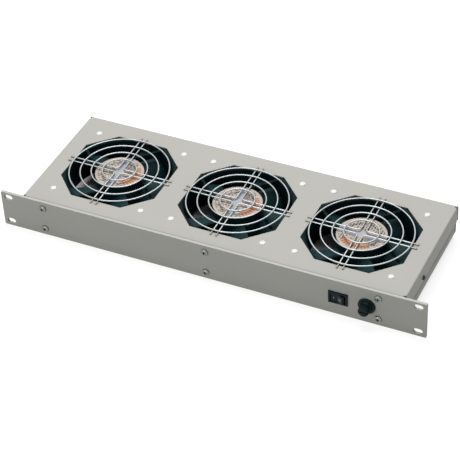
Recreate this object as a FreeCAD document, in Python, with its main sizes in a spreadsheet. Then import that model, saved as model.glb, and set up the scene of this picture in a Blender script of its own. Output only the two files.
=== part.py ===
import FreeCAD, Part
import math
import os
from types import SimpleNamespace

import Sketcher
from FreeCAD import Placement, Rotation, Vector

# A one-unit rack fan tray. The origin is the middle of the four rack slots, on the front face
# of the front panel. X runs to the right, Y to the back and Z up. Lengths are in millimetres.

os.makedirs("parts", exist_ok=True)
doc = FreeCAD.newDocument("rack_fan_tray")
sheet = doc.addObject("Spreadsheet::Sheet", "sizes")


# ---- Sizes ------------------------------------------------------------------------------

DRIVING_SIZES = {
    # front panel, one rack unit high, with an ear beyond each side of the housing
    "ear_width": 23.7,
    "panel_height": 43.65,
    "panel_thick": 3.0,
    "panel_corner": 1.0,
    "slot_inset": 8.75,
    "slot_pitch_up": 31.75,
    "slot_long": 10.3,
    "slot_wide": 6.8,
    # folded sheet steel housing, with room beside, before and behind the fans
    "sheet_thick": 1.2,
    "bend_outer": 1.6,
    "side_room": 17.35,
    "end_room": 18.75,
    "cover_drop": 2.6,
    "front_flange": 38.8,
    "side_flange": 18.5,
    "rear_flange": 10.0,
    "corner_slit": 2.4,
    "corner_relief": 3.2,
    "tray_height": 34.9,
    "tray_fit": 0.15,
    "tray_setback": 11.0,
    "window_gap": 1.0,
    # windows over the fans
    "opening_across": 113.0,
    "opening_deep": 111.6,
    "opening_corner": 27.0,
    # axial fans
    "fan_size": 119.5,
    "fan_depth": 38.0,
    "fan_gap": 21.0,
    "fan_corner": 5.0,
    "fan_flange": 4.5,
    "fan_wall": 2.3,
    "fan_waist_inset": 0.1,
    "fan_hole_inset": 7.35,
    "fan_hole": 4.5,
    "bore_flare": 1.5,
    "hub_lip": 0.3,
    "hub_taper": 1.0,
    "hub_recess": 0.6,
    "hub_plate": 3.0,
    "hub_rim": 6.5,
    "hub_rim_thick": 2.0,
    "strut_width": 4.0,
    "strut_height": 6.9,
    "strut_drop": 0.6,
    "strut_lean": 24.0,
    "strut_bite": 1.0,
    "tube_length": 20.5,
    "tube_wall": 1.8,
    "tube_seat": 1.0,
    "label_inset": 1.4,
    "label_thick": 0.3,
    # fan motor and impeller
    "bearing_outer": 13.0,
    "bearing_inner": 4.0,
    "bearing_width": 5.0,
    "bearing_depth": 6.0,
    "bearing_pitch": 12.0,
    "shaft_play": 0.03,
    "shaft_stub": 1.0,
    "stator_radius": 21.0,
    "stator_top": 9.0,
    "stator_stack": 12.0,
    "yoke_thick": 3.0,
    "pole_neck": 8.0,
    "pole_shoe": 3.0,
    "coil_build": 2.6,
    "coil_play": 0.2,
    "coil_chamfer": 1.0,
    "air_gap": 0.9,
    "rotor_wall": 3.2,
    "rotor_top": 8.8,
    "rotor_end": 31.0,
    "hub_wall": 2.6,
    "hub_top": 10.0,
    "hub_end": 35.0,
    "hub_chamfer": 3.0,
    "tip_gap": 1.2,
    "blade_top": 11.5,
    "blade_height": 22.0,
    "blade_thick": 1.8,
    "blade_root_gap": 0.3,
    "blade_overrun": 2.0,
    "blade_root_angle": 48.0,
    "blade_tip_angle": 28.0,
    "blade_camber": 0.16,
    # finger guards
    "wire_size": 1.6,
    "wire_sink": 0.2,
    "wire_overhang": 5.0,
    "wire_pair": 6.3,
    "wire_bend": 3.5,
    "ring_inner": 18.5,
    "ring_pitch": 12.0,
    # fasteners
    "panel_screw_inset": 27.1,
    "panel_screw_up": 13.5,
    "panel_screw": 4.0,
    "panel_screw_head": 8.0,
    "panel_screw_rise": 2.6,
    "panel_screw_length": 11.0,
    "panel_nut_across_flats": 7.0,
    "panel_nut_thick": 3.2,
    "cover_screw": 3.0,
    "cover_screw_head": 5.6,
    "cover_screw_rise": 1.9,
    "cover_screw_length": 6.0,
    "side_screw_back": 52.0,
    "side_screw_drop": 13.8,
    "rear_screw_across": 150.0,
    "rivet_head": 6.4,
    "rivet_crown": 3.8,
    "rivet_rise": 1.3,
    "rivet_end": 3.0,
    # rocker switch
    "switch_to_fuse": 30.8,
    "bezel_lip": 1.05,
    "bezel_thick": 2.0,
    "bezel_chamfer": 0.8,
    "switch_long": 18.9,
    "switch_high": 12.9,
    "switch_deep": 12.5,
    "switch_wall": 1.1,
    "switch_floor": 1.5,
    "pivot_back": 1.5,
    "rocker_gap": 0.35,
    "rocker_tilt": 12.0,
    "rocker_end_angle": 33.0,
    "rocker_heel_angle": 10.0,
    "rocker_pin": 1.2,
    "rocker_pin_seat": 0.75,
    "tab_wide": 4.8,
    "tab_thick": 0.8,
    "tab_long": 6.0,
    "tab_eye": 1.4,
    "tab_eye_inset": 2.0,
    "tab_spread": 10.4,
    # panel fuse holder, in the open corner of the right-hand fan
    "fuse_inset": 21.95,
    "fuse_flange": 18.6,
    "fuse_flange_thick": 2.2,
    "fuse_collar": 14.4,
    "fuse_collar_rise": 5.2,
    "fuse_chamfer": 0.8,
    "fuse_barrel": 12.5,
    "fuse_floor": 2.5,
    "fuse_bore": 9.8,
    "fuse_nut_across_flats": 16.0,
    "fuse_nut_thick": 3.0,
    "fuse_tab_long": 5.0,
    "cap_radius": 5.7,
    "cap_rise": 11.6,
    "cap_slot": 1.3,
    "cap_slot_deep": 1.4,
    "cap_stop": 0.5,
    "cap_rim": 1.2,
    "flute_size": 2.4,
    "flute_bite": 0.5,
    "carrier_play": 0.35,
    "carrier_length": 15.0,
    "link_diameter": 5.2,
    "link_length": 20.0,
    "link_front": 0.5,
    "link_cap": 5.0,
    "link_step": 0.3,
    "link_play": 0.15,
    "contact_thick": 2.7,
    "contact_play": 0.3,
    "contact_inset": 1.0,
    # cable entry and wiring inside
    "gland_thread": 12.0,
    "gland_bore": 6.6,
    "gland_across_flats": 15.0,
    "gland_hex_thick": 5.0,
    "gland_dome": 9.0,
    "gland_inside": 8.0,
    "gland_drop": 3.0,
    "gland_nut_thick": 3.5,
    "dome_inset": 0.3,
    "dome_taper": 4.0,
    "dome_lip": 1.2,
    "block_pole": 9.0,
    "block_end": 1.0,
    "block_wide": 17.0,
    "block_high": 13.0,
    "block_step": 5.9,
    "block_step_wide": 2.5,
    "block_to_earth": 10.0,
    "sleeve_side": 4.75,
    "sleeve_up": 3.25,
    "sleeve_bore": 3.2,
    "clamp_inset": 2.7,
    "clamp_screw": 3.2,
    "clamp_length": 3.4,
    "clamp_well": 3.8,
    "clamp_slot": 0.7,
    "clamp_slot_deep": 0.8,
    "earth_stud": 4.0,
    "earth_inset": 20.0,
    "earth_length": 12.0,
    "earth_head": 8.0,
    "earth_head_thick": 1.2,
    "earth_point": 0.5,
    "earth_nut_across_flats": 7.0,
    "earth_nut_thick": 3.0,
    # clearances, on the diameter or the whole width
    "panel_hole_play": 0.5,
    "cutout_play": 0.2,
    "fuse_hole_play": 0.3,
    "cover_hole_play": 0.2,
    "tray_hole_play": 0.1,
    "rivet_play": 0.3,
    "nut_play": 0.1,
    "locknut_play": 0.2,
    "pin_play": 0.1,
    "stud_hole_play": 0.2,
    "gland_hole_play": 0.4,
    "sleeve_play": 0.2,
}

FANS = ("left", "middle", "right")
BLADES = 5
STRUTS = 4
POLES = 4
RINGS = 4
FLUTES = 12
BLOCK_POLES = 3


class Size:
    """A number together with the spreadsheet formula that gives it."""

    def __init__(self, number, formula):
        self.number = number
        self.formula = formula

    @staticmethod
    def of(value):
        if isinstance(value, Size):
            return value
        return Size(float(value), f"({float(value)!r})")

    def join(self, other, sign, number):
        return Size(number, f"({self.formula} {sign} {other.formula})")

    def __add__(self, other):
        other = Size.of(other)
        return self.join(other, "+", self.number + other.number)

    def __sub__(self, other):
        other = Size.of(other)
        return self.join(other, "-", self.number - other.number)

    def __mul__(self, other):
        other = Size.of(other)
        return self.join(other, "*", self.number * other.number)

    def __truediv__(self, other):
        other = Size.of(other)
        return self.join(other, "/", self.number / other.number)

    def __neg__(self):
        return Size(-self.number, f"(-1 * {self.formula})")

    def __radd__(self, other):
        return Size.of(other) + self

    def __rsub__(self, other):
        return Size.of(other) - self

    def __rmul__(self, other):
        return Size.of(other) * self


def cosine(angle):
    angle = Size.of(angle)
    return Size(math.cos(math.radians(angle.number)), f"cos({angle.formula} * 1 deg)")


def sine(angle):
    angle = Size.of(angle)
    return Size(math.sin(math.radians(angle.number)), f"sin({angle.formula} * 1 deg)")


for row, (alias, value) in enumerate(DRIVING_SIZES.items(), start=1):
    sheet.set(f"A{row}", alias)
    sheet.set(f"B{row}", str(value))
    sheet.setAlias(f"B{row}", alias)
doc.recompute()
S = SimpleNamespace(**{alias: Size(value, f"sizes.{alias}") for alias, value in DRIVING_SIZES.items()})

# places worked out from the driving sizes
FAN_PITCH = S.fan_size + S.fan_gap
CHASSIS_WIDTH = 2 * FAN_PITCH + S.fan_size + 2 * S.side_room
CHASSIS_DEPTH = S.fan_size + 2 * S.end_room
PANEL_WIDTH = CHASSIS_WIDTH + 2 * S.ear_width
TOP = S.panel_height / 2 - S.cover_drop
FRONT = S.panel_thick
REAR = FRONT + CHASSIS_DEPTH
FAN_BACK = FRONT + CHASSIS_DEPTH / 2
FAN_TOP = TOP - S.sheet_thick
FAN_BORE = S.fan_size / 2 - S.fan_wall
ROTOR_RADIUS = S.stator_radius + S.air_gap + S.rotor_wall
HUB_RADIUS = ROTOR_RADIUS + S.hub_wall + S.hub_lip
TRAY_BOTTOM = TOP - S.tray_height
TRAY_FLOOR = TRAY_BOTTOM + S.sheet_thick
TRAY_HALF = CHASSIS_WIDTH / 2 - S.sheet_thick - S.tray_fit
TRAY_REAR = REAR - S.sheet_thick - S.tray_fit
WIRING_ACROSS = FAN_PITCH / 2
FUSE_ACROSS = FAN_PITCH + S.fan_size / 2 - S.fuse_inset
SWITCH_ACROSS = FUSE_ACROSS - S.switch_to_fuse
ZERO = Size.of(0)

parts = []


# ---- Drawing helpers --------------------------------------------------------------------


def new_body(label, place=None):
    """An empty body that becomes one node; place is its (x, y, z)."""
    body = doc.addObject("PartDesign::Body", label)
    body.Label = label
    if place:
        put(body, place)
    return body


def put(thing, place, turn=None):
    if turn:
        thing.Placement = Placement(Vector(), turn)
    for letter, length in zip("xyz", place):
        thing.setExpression(f"Placement.Base.{letter}", Size.of(length).formula)


def draw(body, plane, offset=0):
    """A sketch on one of the body's own origin planes, moved along the plane's normal."""
    support = next(f for f in body.Origin.OriginFeatures if f.Role == f"{plane}_Plane")
    sketch = body.newObject("Sketcher::SketchObject", f"{body.Name}_sketch")
    sketch.AttachmentSupport = [(support, "")]
    sketch.MapMode = "FlatFace"
    sketch.setExpression("AttachmentOffset.Base.z", Size.of(offset).formula)
    return sketch


def pin_point(sketch, geometry, end, across, up):
    """Fixes a point of the sketch at its two lengths from the sketch's origin."""
    for kind, axis, length in (("DistanceX", -2, across), ("DistanceY", -1, up)):
        length = Size.of(length)
        if abs(length.number) < 1e-9:
            sketch.addConstraint(Sketcher.Constraint("PointOnObject", geometry, end, axis))
            continue
        first, second = ((-1, 1), (geometry, end)) if length.number > 0 else ((geometry, end), (-1, 1))
        positive = length if length.number > 0 else -length
        tie(sketch, Sketcher.Constraint(kind, *first, *second, positive.number), positive)


def tie(sketch, constraint, length):
    index = sketch.addConstraint(constraint)
    name = f"size_{index}"
    sketch.renameConstraint(index, name)
    sketch.setExpression(f"Constraints.{name}", length.formula)


def circle(sketch, across, up, diameter):
    across, up, diameter = Size.of(across), Size.of(up), Size.of(diameter)
    centre = Vector(across.number, up.number, 0)
    ring = sketch.addGeometry(Part.Circle(centre, Vector(0, 0, 1), diameter.number / 2))
    pin_point(sketch, ring, 3, across, up)
    tie(sketch, Sketcher.Constraint("Diameter", ring, diameter.number), diameter)


def outline(sketch, points, arcs=None):
    """A closed outline through the points.

    arcs gives a radius for each side that is an arc, by the side's place in the outline. A
    positive radius turns anticlockwise along the side, a negative one clockwise.
    """
    arcs = arcs or {}
    places = [Vector(Size.of(x).number, Size.of(y).number, 0) for x, y in points]
    ends = []
    for side, start in enumerate(places):
        finish = places[(side + 1) % len(places)]
        if side not in arcs:
            edge = sketch.addGeometry(Part.LineSegment(start, finish))
            ends.append((edge, 1, 2))
            continue
        radius = Size.of(arcs[side])
        chord = finish - start
        normal = Vector(-chord.y, chord.x, 0).normalize()
        rise = math.sqrt(max(radius.number**2 - chord.Length**2 / 4, 0))
        left = 1 if radius.number > 0 else -1
        centre = (start + finish) * 0.5 + normal * (rise * left)
        first, last = (start, finish) if left > 0 else (finish, start)
        angles = [math.atan2(p.y - centre.y, p.x - centre.x) for p in (first, last)]
        ring = Part.Circle(centre, Vector(0, 0, 1), abs(radius.number))
        edge = sketch.addGeometry(Part.ArcOfCircle(ring, *angles))
        ends.append((edge, 1, 2) if left > 0 else (edge, 2, 1))
        size = radius if left > 0 else -radius
        tie(sketch, Sketcher.Constraint("Radius", edge, size.number), size)
    for side, (edge, begin, _) in enumerate(ends):
        before, _, end = ends[side - 1]
        sketch.addConstraint(Sketcher.Constraint("Coincident", before, end, edge, begin))
        pin_point(sketch, edge, begin, *points[side])


def rectangle(sketch, left, low, wide, high):
    right, top = left + wide, low + high
    outline(sketch, [(left, low), (right, low), (right, top), (left, top)])


def centred(sketch, across, up, wide, high):
    rectangle(sketch, across - wide / 2, up - high / 2, Size.of(wide), Size.of(high))


def hexagon(sketch, across, up, across_flats, point_up=False):
    """A regular hexagon; its flats are above and below, or at the sides when point_up."""
    reach = across_flats / math.sqrt(3)
    corners = []
    for corner in range(6):
        angle = 60 * corner + (30 if point_up else 0)
        corners.append((across + reach * round(math.cos(math.radians(angle)), 12),
                        up + reach * round(math.sin(math.radians(angle)), 12)))
    outline(sketch, corners)


def volume(body):
    doc.recompute()
    return body.Shape.Volume if not body.Shape.isNull() else 0.0


def pad(body, sketch, length, backwards=False):
    before = volume(body)
    solid = body.newObject("PartDesign::Pad", f"{body.Name}_pad")
    solid.Profile = sketch
    solid.setExpression("Length", Size.of(length).formula)
    solid.Reversed = backwards
    if volume(body) <= before:
        raise RuntimeError(f"{body.Label}: a pad added nothing")
    return solid


def pocket(body, sketch, length, backwards=False):
    before = volume(body)
    hollow = body.newObject("PartDesign::Pocket", f"{body.Name}_pocket")
    hollow.Profile = sketch
    hollow.setExpression("Length", Size.of(length).formula)
    hollow.Reversed = backwards
    if volume(body) >= before:
        raise RuntimeError(f"{body.Label}: a pocket cut nothing")
    return hollow


def revolve(body, sketch, cutting=False):
    """Turns the sketch a full turn about its own upright axis."""
    kind = "Groove" if cutting else "Revolution"
    turned = body.newObject(f"PartDesign::{kind}", f"{body.Name}_{kind.lower()}")
    turned.Profile = sketch
    turned.ReferenceAxis = (sketch, ["V_Axis"])
    turned.Angle = 360
    doc.recompute()
    return turned


def around(body, features, count):
    """Repeats the features evenly about the body's upright axis."""
    axis = next(f for f in body.Origin.OriginFeatures if f.Role == "Z_Axis")
    pattern = body.newObject("PartDesign::PolarPattern", f"{body.Name}_pattern")
    pattern.Originals = features
    pattern.Axis = (axis, [""])
    pattern.Angle = 360
    pattern.Occurrences = count
    body.Tip = pattern
    doc.recompute()
    return pattern


def dress(body, kind, edges, size):
    """A fillet or chamfer on the edges of the body's last feature that the test picks."""
    doc.recompute()
    tip = body.Tip
    names = [f"Edge{i}" for i, edge in enumerate(tip.Shape.Edges, start=1) if edges(edge)]
    if not names:
        raise RuntimeError(f"{body.Label}: no edge to {kind.lower()}")
    finish = body.newObject(f"PartDesign::{kind}", f"{body.Name}_{kind.lower()}")
    finish.Base = (tip, names)
    finish.setExpression("Radius" if kind == "Fillet" else "Size", Size.of(size).formula)
    doc.recompute()
    return finish


def group(label, master, places, turns=None):
    """One node that holds a copy of the master at each place."""
    copies = []
    for index, place in enumerate(places):
        copy = doc.addObject("App::Link", f"{label}_{index + 1}")
        copy.LinkedObject = master
        put(copy, place, turns[index] if turns else None)
        copies.append(copy)
    together = doc.addObject("Part::Compound", label)
    together.Label = label
    together.Links = copies
    parts.append(together)
    return together


def near(value, size):
    return abs(value - Size.of(size).number) < 0.01


# ---- Front panel ------------------------------------------------------------------------

HALF_TURN = 1.0001  # an arc's radius over half its chord, just clear of a full half circle


def slot(sketch, across, up):
    """A rack slot with round ends, long side across."""
    half = (S.slot_long - S.slot_wide) / 2
    radius = S.slot_wide / 2
    end = radius * HALF_TURN
    corners = [(across - half, up - radius), (across + half, up - radius),
               (across + half, up + radius), (across - half, up + radius)]
    outline(sketch, corners, {1: end, 3: end})


panel = new_body("front_panel")
face = draw(panel, "XZ")
centred(face, ZERO, ZERO, PANEL_WIDTH, S.panel_height)
pad(panel, face, S.panel_thick, backwards=True)
dress(panel, "Fillet", lambda e: near(e.Length, S.panel_thick), S.panel_corner)
holes = draw(panel, "XZ")
for side in (-1, 1):
    for level in (-1, 1):
        slot(holes, side * (PANEL_WIDTH / 2 - S.slot_inset), level * S.slot_pitch_up / 2)
screw_places = [(column * (CHASSIS_WIDTH / 2 - S.panel_screw_inset), level * S.panel_screw_up)
                for column in (-1, 0, 1) for level in (-1, 1)]


def front_holes(sketch):
    """The holes that the panel and the flange behind it share."""
    for across, up in screw_places:
        circle(sketch, across, up, S.panel_screw + S.panel_hole_play)
    centred(sketch, SWITCH_ACROSS, ZERO, S.switch_long + S.cutout_play, S.switch_high + S.cutout_play)
    circle(sketch, FUSE_ACROSS, ZERO, S.fuse_barrel + S.fuse_hole_play)


front_holes(holes)
pocket(panel, holes, S.panel_thick)
parts.append(panel)


# ---- Housing: top cover and lower tray --------------------------------------------------

# The cover is one folded sheet: a plate with an eight-sided window over each fan, a deep
# front flange behind the panel, and short flanges that close over the lower tray.
cover = new_body("top_cover")
blank = draw(cover, "XY", TOP - S.front_flange)
rectangle(blank, -CHASSIS_WIDTH / 2, FRONT, CHASSIS_WIDTH, CHASSIS_DEPTH)
pad(cover, blank, S.front_flange)
dress(cover, "Fillet",
      lambda e: near(e.BoundBox.ZMin, TOP) and near(e.BoundBox.ZMax, TOP), S.bend_outer)
inside = draw(cover, "XY", TOP - S.front_flange)
rectangle(inside, -CHASSIS_WIDTH / 2 + S.sheet_thick, FRONT + S.sheet_thick,
          CHASSIS_WIDTH - 2 * S.sheet_thick, CHASSIS_DEPTH - 2 * S.sheet_thick)
pocket(cover, inside, S.front_flange - S.sheet_thick, backwards=True)

side_trim = draw(cover, "YZ", -CHASSIS_WIDTH / 2)
rectangle(side_trim, FRONT + S.sheet_thick, TOP - S.front_flange,
          CHASSIS_DEPTH, S.front_flange - S.side_flange)
pocket(cover, side_trim, CHASSIS_WIDTH, backwards=True)
rear_trim = draw(cover, "XZ", -REAR)
rectangle(rear_trim, -CHASSIS_WIDTH / 2 + S.sheet_thick, TOP - S.front_flange,
          CHASSIS_WIDTH - 2 * S.sheet_thick, S.front_flange - S.rear_flange)
pocket(cover, rear_trim, S.sheet_thick, backwards=True)

slits = draw(cover, "XY", TOP - S.front_flange)
for side in (-1, 1):
    edge = side * CHASSIS_WIDTH / 2
    middle = edge - side * S.sheet_thick / 2
    centred(slits, middle, FRONT + S.sheet_thick + S.corner_slit / 2, S.sheet_thick, S.corner_slit)
    centred(slits, middle, REAR - S.sheet_thick - S.corner_slit / 2, S.sheet_thick, S.corner_slit)
pocket(cover, slits, S.front_flange - S.sheet_thick, backwards=True)
reliefs = draw(cover, "XY", TOP)
for side in (-1, 1):
    across = side * (CHASSIS_WIDTH / 2 - S.sheet_thick)
    circle(reliefs, across, FRONT + S.sheet_thick + S.corner_relief / 2, S.corner_relief)
    circle(reliefs, across, REAR - S.sheet_thick - S.corner_relief / 2, S.corner_relief)
RELIEF_DEEP = 3 * S.sheet_thick
pocket(cover, reliefs, RELIEF_DEEP)


def window(sketch, across):
    """The eight-sided opening over a fan."""
    half, deep, cut = S.opening_across / 2, S.opening_deep / 2, S.opening_corner
    corners = [(half - cut, -deep), (half, cut - deep), (half, deep - cut), (half - cut, deep),
               (cut - half, deep), (-half, deep - cut), (-half, cut - deep), (cut - half, -deep)]
    outline(sketch, [(across + x, FAN_BACK + y) for x, y in corners])


fan_places = [(index - 1) * FAN_PITCH for index in range(len(FANS))]
hole_half = S.fan_size / 2 - S.fan_hole_inset
rivet_places = [(centre + side * hole_half, FAN_BACK + end * hole_half)
                for centre in fan_places for side in (-1, 1) for end in (-1, 1)]
openings = draw(cover, "XY", TOP)
for centre in fan_places:
    window(openings, centre)
for across, back in rivet_places:
    circle(openings, across, back, S.fan_hole)
pocket(cover, openings, S.sheet_thick)

flange_holes = draw(cover, "XZ", -FRONT)
front_holes(flange_holes)
pocket(cover, flange_holes, S.sheet_thick)
SIDE_SCREW_UP = TOP - S.side_screw_drop
REAR_SCREW_UP = TOP - S.rear_flange / 2
cover_hole = S.cover_screw + S.cover_hole_play
side_holes = draw(cover, "YZ", -CHASSIS_WIDTH / 2)
circle(side_holes, FRONT + S.side_screw_back, SIDE_SCREW_UP, cover_hole)
pocket(cover, side_holes, CHASSIS_WIDTH, backwards=True)
rear_holes = draw(cover, "XZ", -REAR)
for side in (-1, 1):
    circle(rear_holes, side * S.rear_screw_across, REAR_SCREW_UP, cover_hole)
pocket(cover, rear_holes, S.sheet_thick, backwards=True)
parts.append(cover)

# The tray closes the sides and back below the cover. Its floor has a square hole for each fan
# body, which stands a little through it, and stops short of the front flange's nuts.
tray = new_body("lower_tray")
TRAY_FRONT = FRONT + S.sheet_thick + S.tray_fit
blank = draw(tray, "XY", TRAY_BOTTOM)
rectangle(blank, -TRAY_HALF, TRAY_FRONT, TRAY_HALF * 2, TRAY_REAR - TRAY_FRONT)
pad(tray, blank, FAN_TOP - S.tray_fit - TRAY_BOTTOM)
dress(tray, "Fillet",
      lambda e: near(e.BoundBox.ZMin, TRAY_BOTTOM) and near(e.BoundBox.ZMax, TRAY_BOTTOM)
      and not near(e.BoundBox.YMax, TRAY_FRONT), S.bend_outer)
inside = draw(tray, "XY", TRAY_FLOOR)
rectangle(inside, S.sheet_thick - TRAY_HALF, TRAY_FRONT, (TRAY_HALF - S.sheet_thick) * 2,
          TRAY_REAR - TRAY_FRONT - S.sheet_thick)
pocket(tray, inside, S.tray_height, backwards=True)
nut_room = draw(tray, "XY", TRAY_FLOOR)
rectangle(nut_room, S.sheet_thick - TRAY_HALF, TRAY_FRONT, (TRAY_HALF - S.sheet_thick) * 2,
          S.tray_setback)
pocket(tray, nut_room, S.sheet_thick * 2)
slits = draw(tray, "XY", TRAY_FLOOR)
for side in (-1, 1):
    centred(slits, side * (TRAY_HALF - S.sheet_thick / 2),
            TRAY_REAR - S.sheet_thick - S.corner_slit / 2, S.sheet_thick, S.corner_slit)
pocket(tray, slits, S.tray_height, backwards=True)
floor_holes = draw(tray, "XY", TRAY_FLOOR)
fan_hole_side = S.fan_size + 2 * S.window_gap
for centre in fan_places:
    centred(floor_holes, centre, FAN_BACK, fan_hole_side, fan_hole_side)
EARTH_BACK = REAR - S.earth_inset
circle(floor_holes, WIRING_ACROSS, EARTH_BACK, S.earth_stud + S.stud_hole_play)
pocket(tray, floor_holes, S.sheet_thick * 2)
tray_hole = S.cover_screw + S.tray_hole_play
side_holes = draw(tray, "YZ", -CHASSIS_WIDTH / 2)
circle(side_holes, FRONT + S.side_screw_back, SIDE_SCREW_UP, tray_hole)
pocket(tray, side_holes, CHASSIS_WIDTH, backwards=True)
rear_holes = draw(tray, "XZ", -REAR)
for side in (-1, 1):
    circle(rear_holes, side * S.rear_screw_across, REAR_SCREW_UP, tray_hole)
circle(rear_holes, WIRING_ACROSS, -S.gland_drop, S.gland_thread + S.gland_hole_play)
pocket(tray, rear_holes, S.sheet_thick * 3, backwards=True)
parts.append(tray)


# ---- Fans -------------------------------------------------------------------------------

# Each fan is built about its own upright axis with its top face at height 0, then placed under
# its window. The motor hangs from a hub plate that leaning struts hold in the top of the frame.


def fan_frame(label, place):
    body = new_body(label, place)
    square = draw(body, "XY", -S.fan_depth)
    centred(square, ZERO, ZERO, S.fan_size, S.fan_size)
    pad(body, square, S.fan_depth)
    dress(body, "Fillet", lambda e: near(e.Length, S.fan_depth), S.fan_corner)
    waist = draw(body, "XY", -S.fan_flange)
    beyond = S.fan_size * 2
    centred(waist, ZERO, ZERO, beyond, beyond)
    circle(waist, ZERO, ZERO, S.fan_size - 2 * S.fan_waist_inset)
    pocket(body, waist, S.fan_depth - 2 * S.fan_flange)
    bore = draw(body, "XY", ZERO)
    circle(bore, ZERO, ZERO, FAN_BORE * 2)
    pocket(body, bore, S.fan_depth)
    rims = (0, -S.fan_depth)
    dress(body, "Chamfer", lambda e: any(near(e.BoundBox.ZMin, rim) for rim in rims)
          and near(e.BoundBox.ZLength, 0) and near(e.BoundBox.XLength, FAN_BORE * 2), S.bore_flare)

    # hub plate, its rim and the bearing tube are turned as one form
    plate_top, plate_low = -S.hub_recess, -S.hub_recess - S.hub_plate
    rim_low, tube_low, seat = plate_top - S.hub_rim, plate_low - S.tube_length, plate_low - S.tube_seat
    root, rim_inner = HUB_RADIUS - S.hub_taper, HUB_RADIUS - S.hub_rim_thick
    tube_inner, tube_outer = S.bearing_outer / 2, S.bearing_outer / 2 + S.tube_wall
    shell = draw(body, "XZ")
    outline(shell, [
        (ZERO, plate_top), (root, plate_top), (HUB_RADIUS, rim_low), (rim_inner, rim_low),
        (rim_inner, plate_low), (tube_outer, plate_low), (tube_outer, tube_low),
        (tube_inner, tube_low), (tube_inner, seat), (ZERO, seat)])

    # a strut leaves the hub straight out and meets the wall further round, clockwise
    strut = draw(body, "XY", plate_top - S.strut_drop - S.strut_height)
    tip = FAN_BORE + S.strut_bite
    far, aside = tip * cosine(S.strut_lean), tip * sine(S.strut_lean)
    half = S.strut_width / 2
    outline(strut, [(root, -half), (far, -half - aside), (far, half - aside), (root, half)])
    ribs = pad(body, strut, S.strut_height)
    around(body, [ribs], STRUTS)
    revolve(body, shell)

    corner_holes = draw(body, "XY", ZERO)
    for side in (-1, 1):
        for end in (-1, 1):
            circle(corner_holes, side * hole_half, end * hole_half, S.fan_hole)
    pocket(body, corner_holes, S.fan_depth)
    parts.append(body)


def fan_label(label, place):
    body = new_body(label, place)
    disc = draw(body, "XY", -S.hub_recess)
    circle(disc, ZERO, ZERO, (HUB_RADIUS - S.label_inset) * 2)
    pad(body, disc, S.label_thick)
    parts.append(body)


# where the pole shoes' horns end and the gap between them opens, as shares of the radius
POLE_HORN, POLE_GAP = 0.62, 0.8


def stator(label, place):
    """Stacked laminations: a ring on the bearing tube with four shoed poles."""
    body = new_body(label, place)
    inner = S.bearing_outer / 2 + S.tube_wall
    yoke = inner + S.yoke_thick
    stack = draw(body, "XY", -S.stator_top - S.stator_stack)
    circle(stack, ZERO, ZERO, S.stator_radius * 2)
    circle(stack, ZERO, ZERO, inner * 2)
    pad(body, stack, S.stator_stack)
    shoe, neck = S.stator_radius - S.pole_shoe, S.pole_neck / 2
    horn, gap = S.stator_radius * POLE_HORN, S.stator_radius * POLE_GAP
    between = draw(body, "XY", -S.stator_top)
    outline(between, [(yoke, neck), (shoe, neck), (shoe, horn), (gap, gap), (horn, shoe),
                      (neck, shoe), (neck, yoke)])
    slot_cut = pocket(body, between, S.stator_stack)
    around(body, [slot_cut], POLES)
    parts.append(body)


def windings(label, place):
    """One coil of copper about the neck of each pole."""
    coil = new_body(f"{label}_coil")
    inner = S.bearing_outer / 2 + S.tube_wall + S.yoke_thick + 2 * S.coil_play
    long = S.stator_radius - S.pole_shoe - 2 * S.coil_play - inner
    loop = draw(coil, "YZ", inner)
    level = -S.stator_top - S.stator_stack / 2
    wide, high = S.pole_neck + 2 * S.coil_play, S.stator_stack + 2 * S.coil_play
    centred(loop, ZERO, level, wide + 2 * S.coil_build, high + 2 * S.coil_build)
    centred(loop, ZERO, level, wide, high)
    pad(coil, loop, long)
    outer = wide / 2 + S.coil_build
    dress(coil, "Chamfer",
          lambda e: near(e.Length, long) and near(abs(e.BoundBox.YMax), outer), S.coil_chamfer)
    turns = [Rotation(Vector(0, 0, 1), 360 / POLES * pole) for pole in range(POLES)]
    group(label, coil, [place] * POLES, turns)


def bearings(label, place):
    """Two sealed ball bearings, each a plain ring between shaft and tube."""
    bearing = new_body(f"{label}_one")
    race = draw(bearing, "XY", -S.bearing_width)
    circle(race, ZERO, ZERO, S.bearing_outer)
    circle(race, ZERO, ZERO, S.bearing_inner)
    pad(bearing, race, S.bearing_width)
    across, back, up = place
    group(label, bearing, [(across, back, up - S.bearing_depth),
                           (across, back, up - S.bearing_depth - S.bearing_pitch)])


def rotor(label, place):
    """The outer rotor: a steel cup over the stator, closed below, with the shaft in it."""
    body = new_body(label, place)
    inner = S.stator_radius + S.air_gap
    shaft = S.bearing_inner / 2 - S.shaft_play
    cup = draw(body, "XZ")
    floor = -S.rotor_end + S.rotor_wall
    shaft_top = S.shaft_stub - S.bearing_depth
    outline(cup, [
        (ZERO, shaft_top), (shaft, shaft_top), (shaft, floor), (inner, floor),
        (inner, -S.rotor_top), (ROTOR_RADIUS, -S.rotor_top), (ROTOR_RADIUS, -S.rotor_end),
        (ZERO, -S.rotor_end)])
    revolve(body, cup)
    parts.append(body)


def blade_section(body, radius, angle, high):
    """A thin arched section on the plane at the radius, its chord at the angle from flat."""
    section = draw(body, "YZ", radius)
    chord = high / sine(angle)
    half_run, half_rise = high / 2 / sine(angle) * cosine(angle), high / 2
    middle = -S.blade_top - S.blade_height / 2
    skew_x, skew_y = S.blade_thick / 2 * sine(angle), S.blade_thick / 2 * cosine(angle)
    points = [(-half_run - skew_x, middle - half_rise + skew_y),
              (half_run - skew_x, middle + half_rise + skew_y),
              (half_run + skew_x, middle + half_rise - skew_y),
              (-half_run + skew_x, middle - half_rise - skew_y)]
    bow = chord / 8 / S.blade_camber
    outline(section, points, {0: -(bow + S.blade_thick), 2: bow})
    return section


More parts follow.
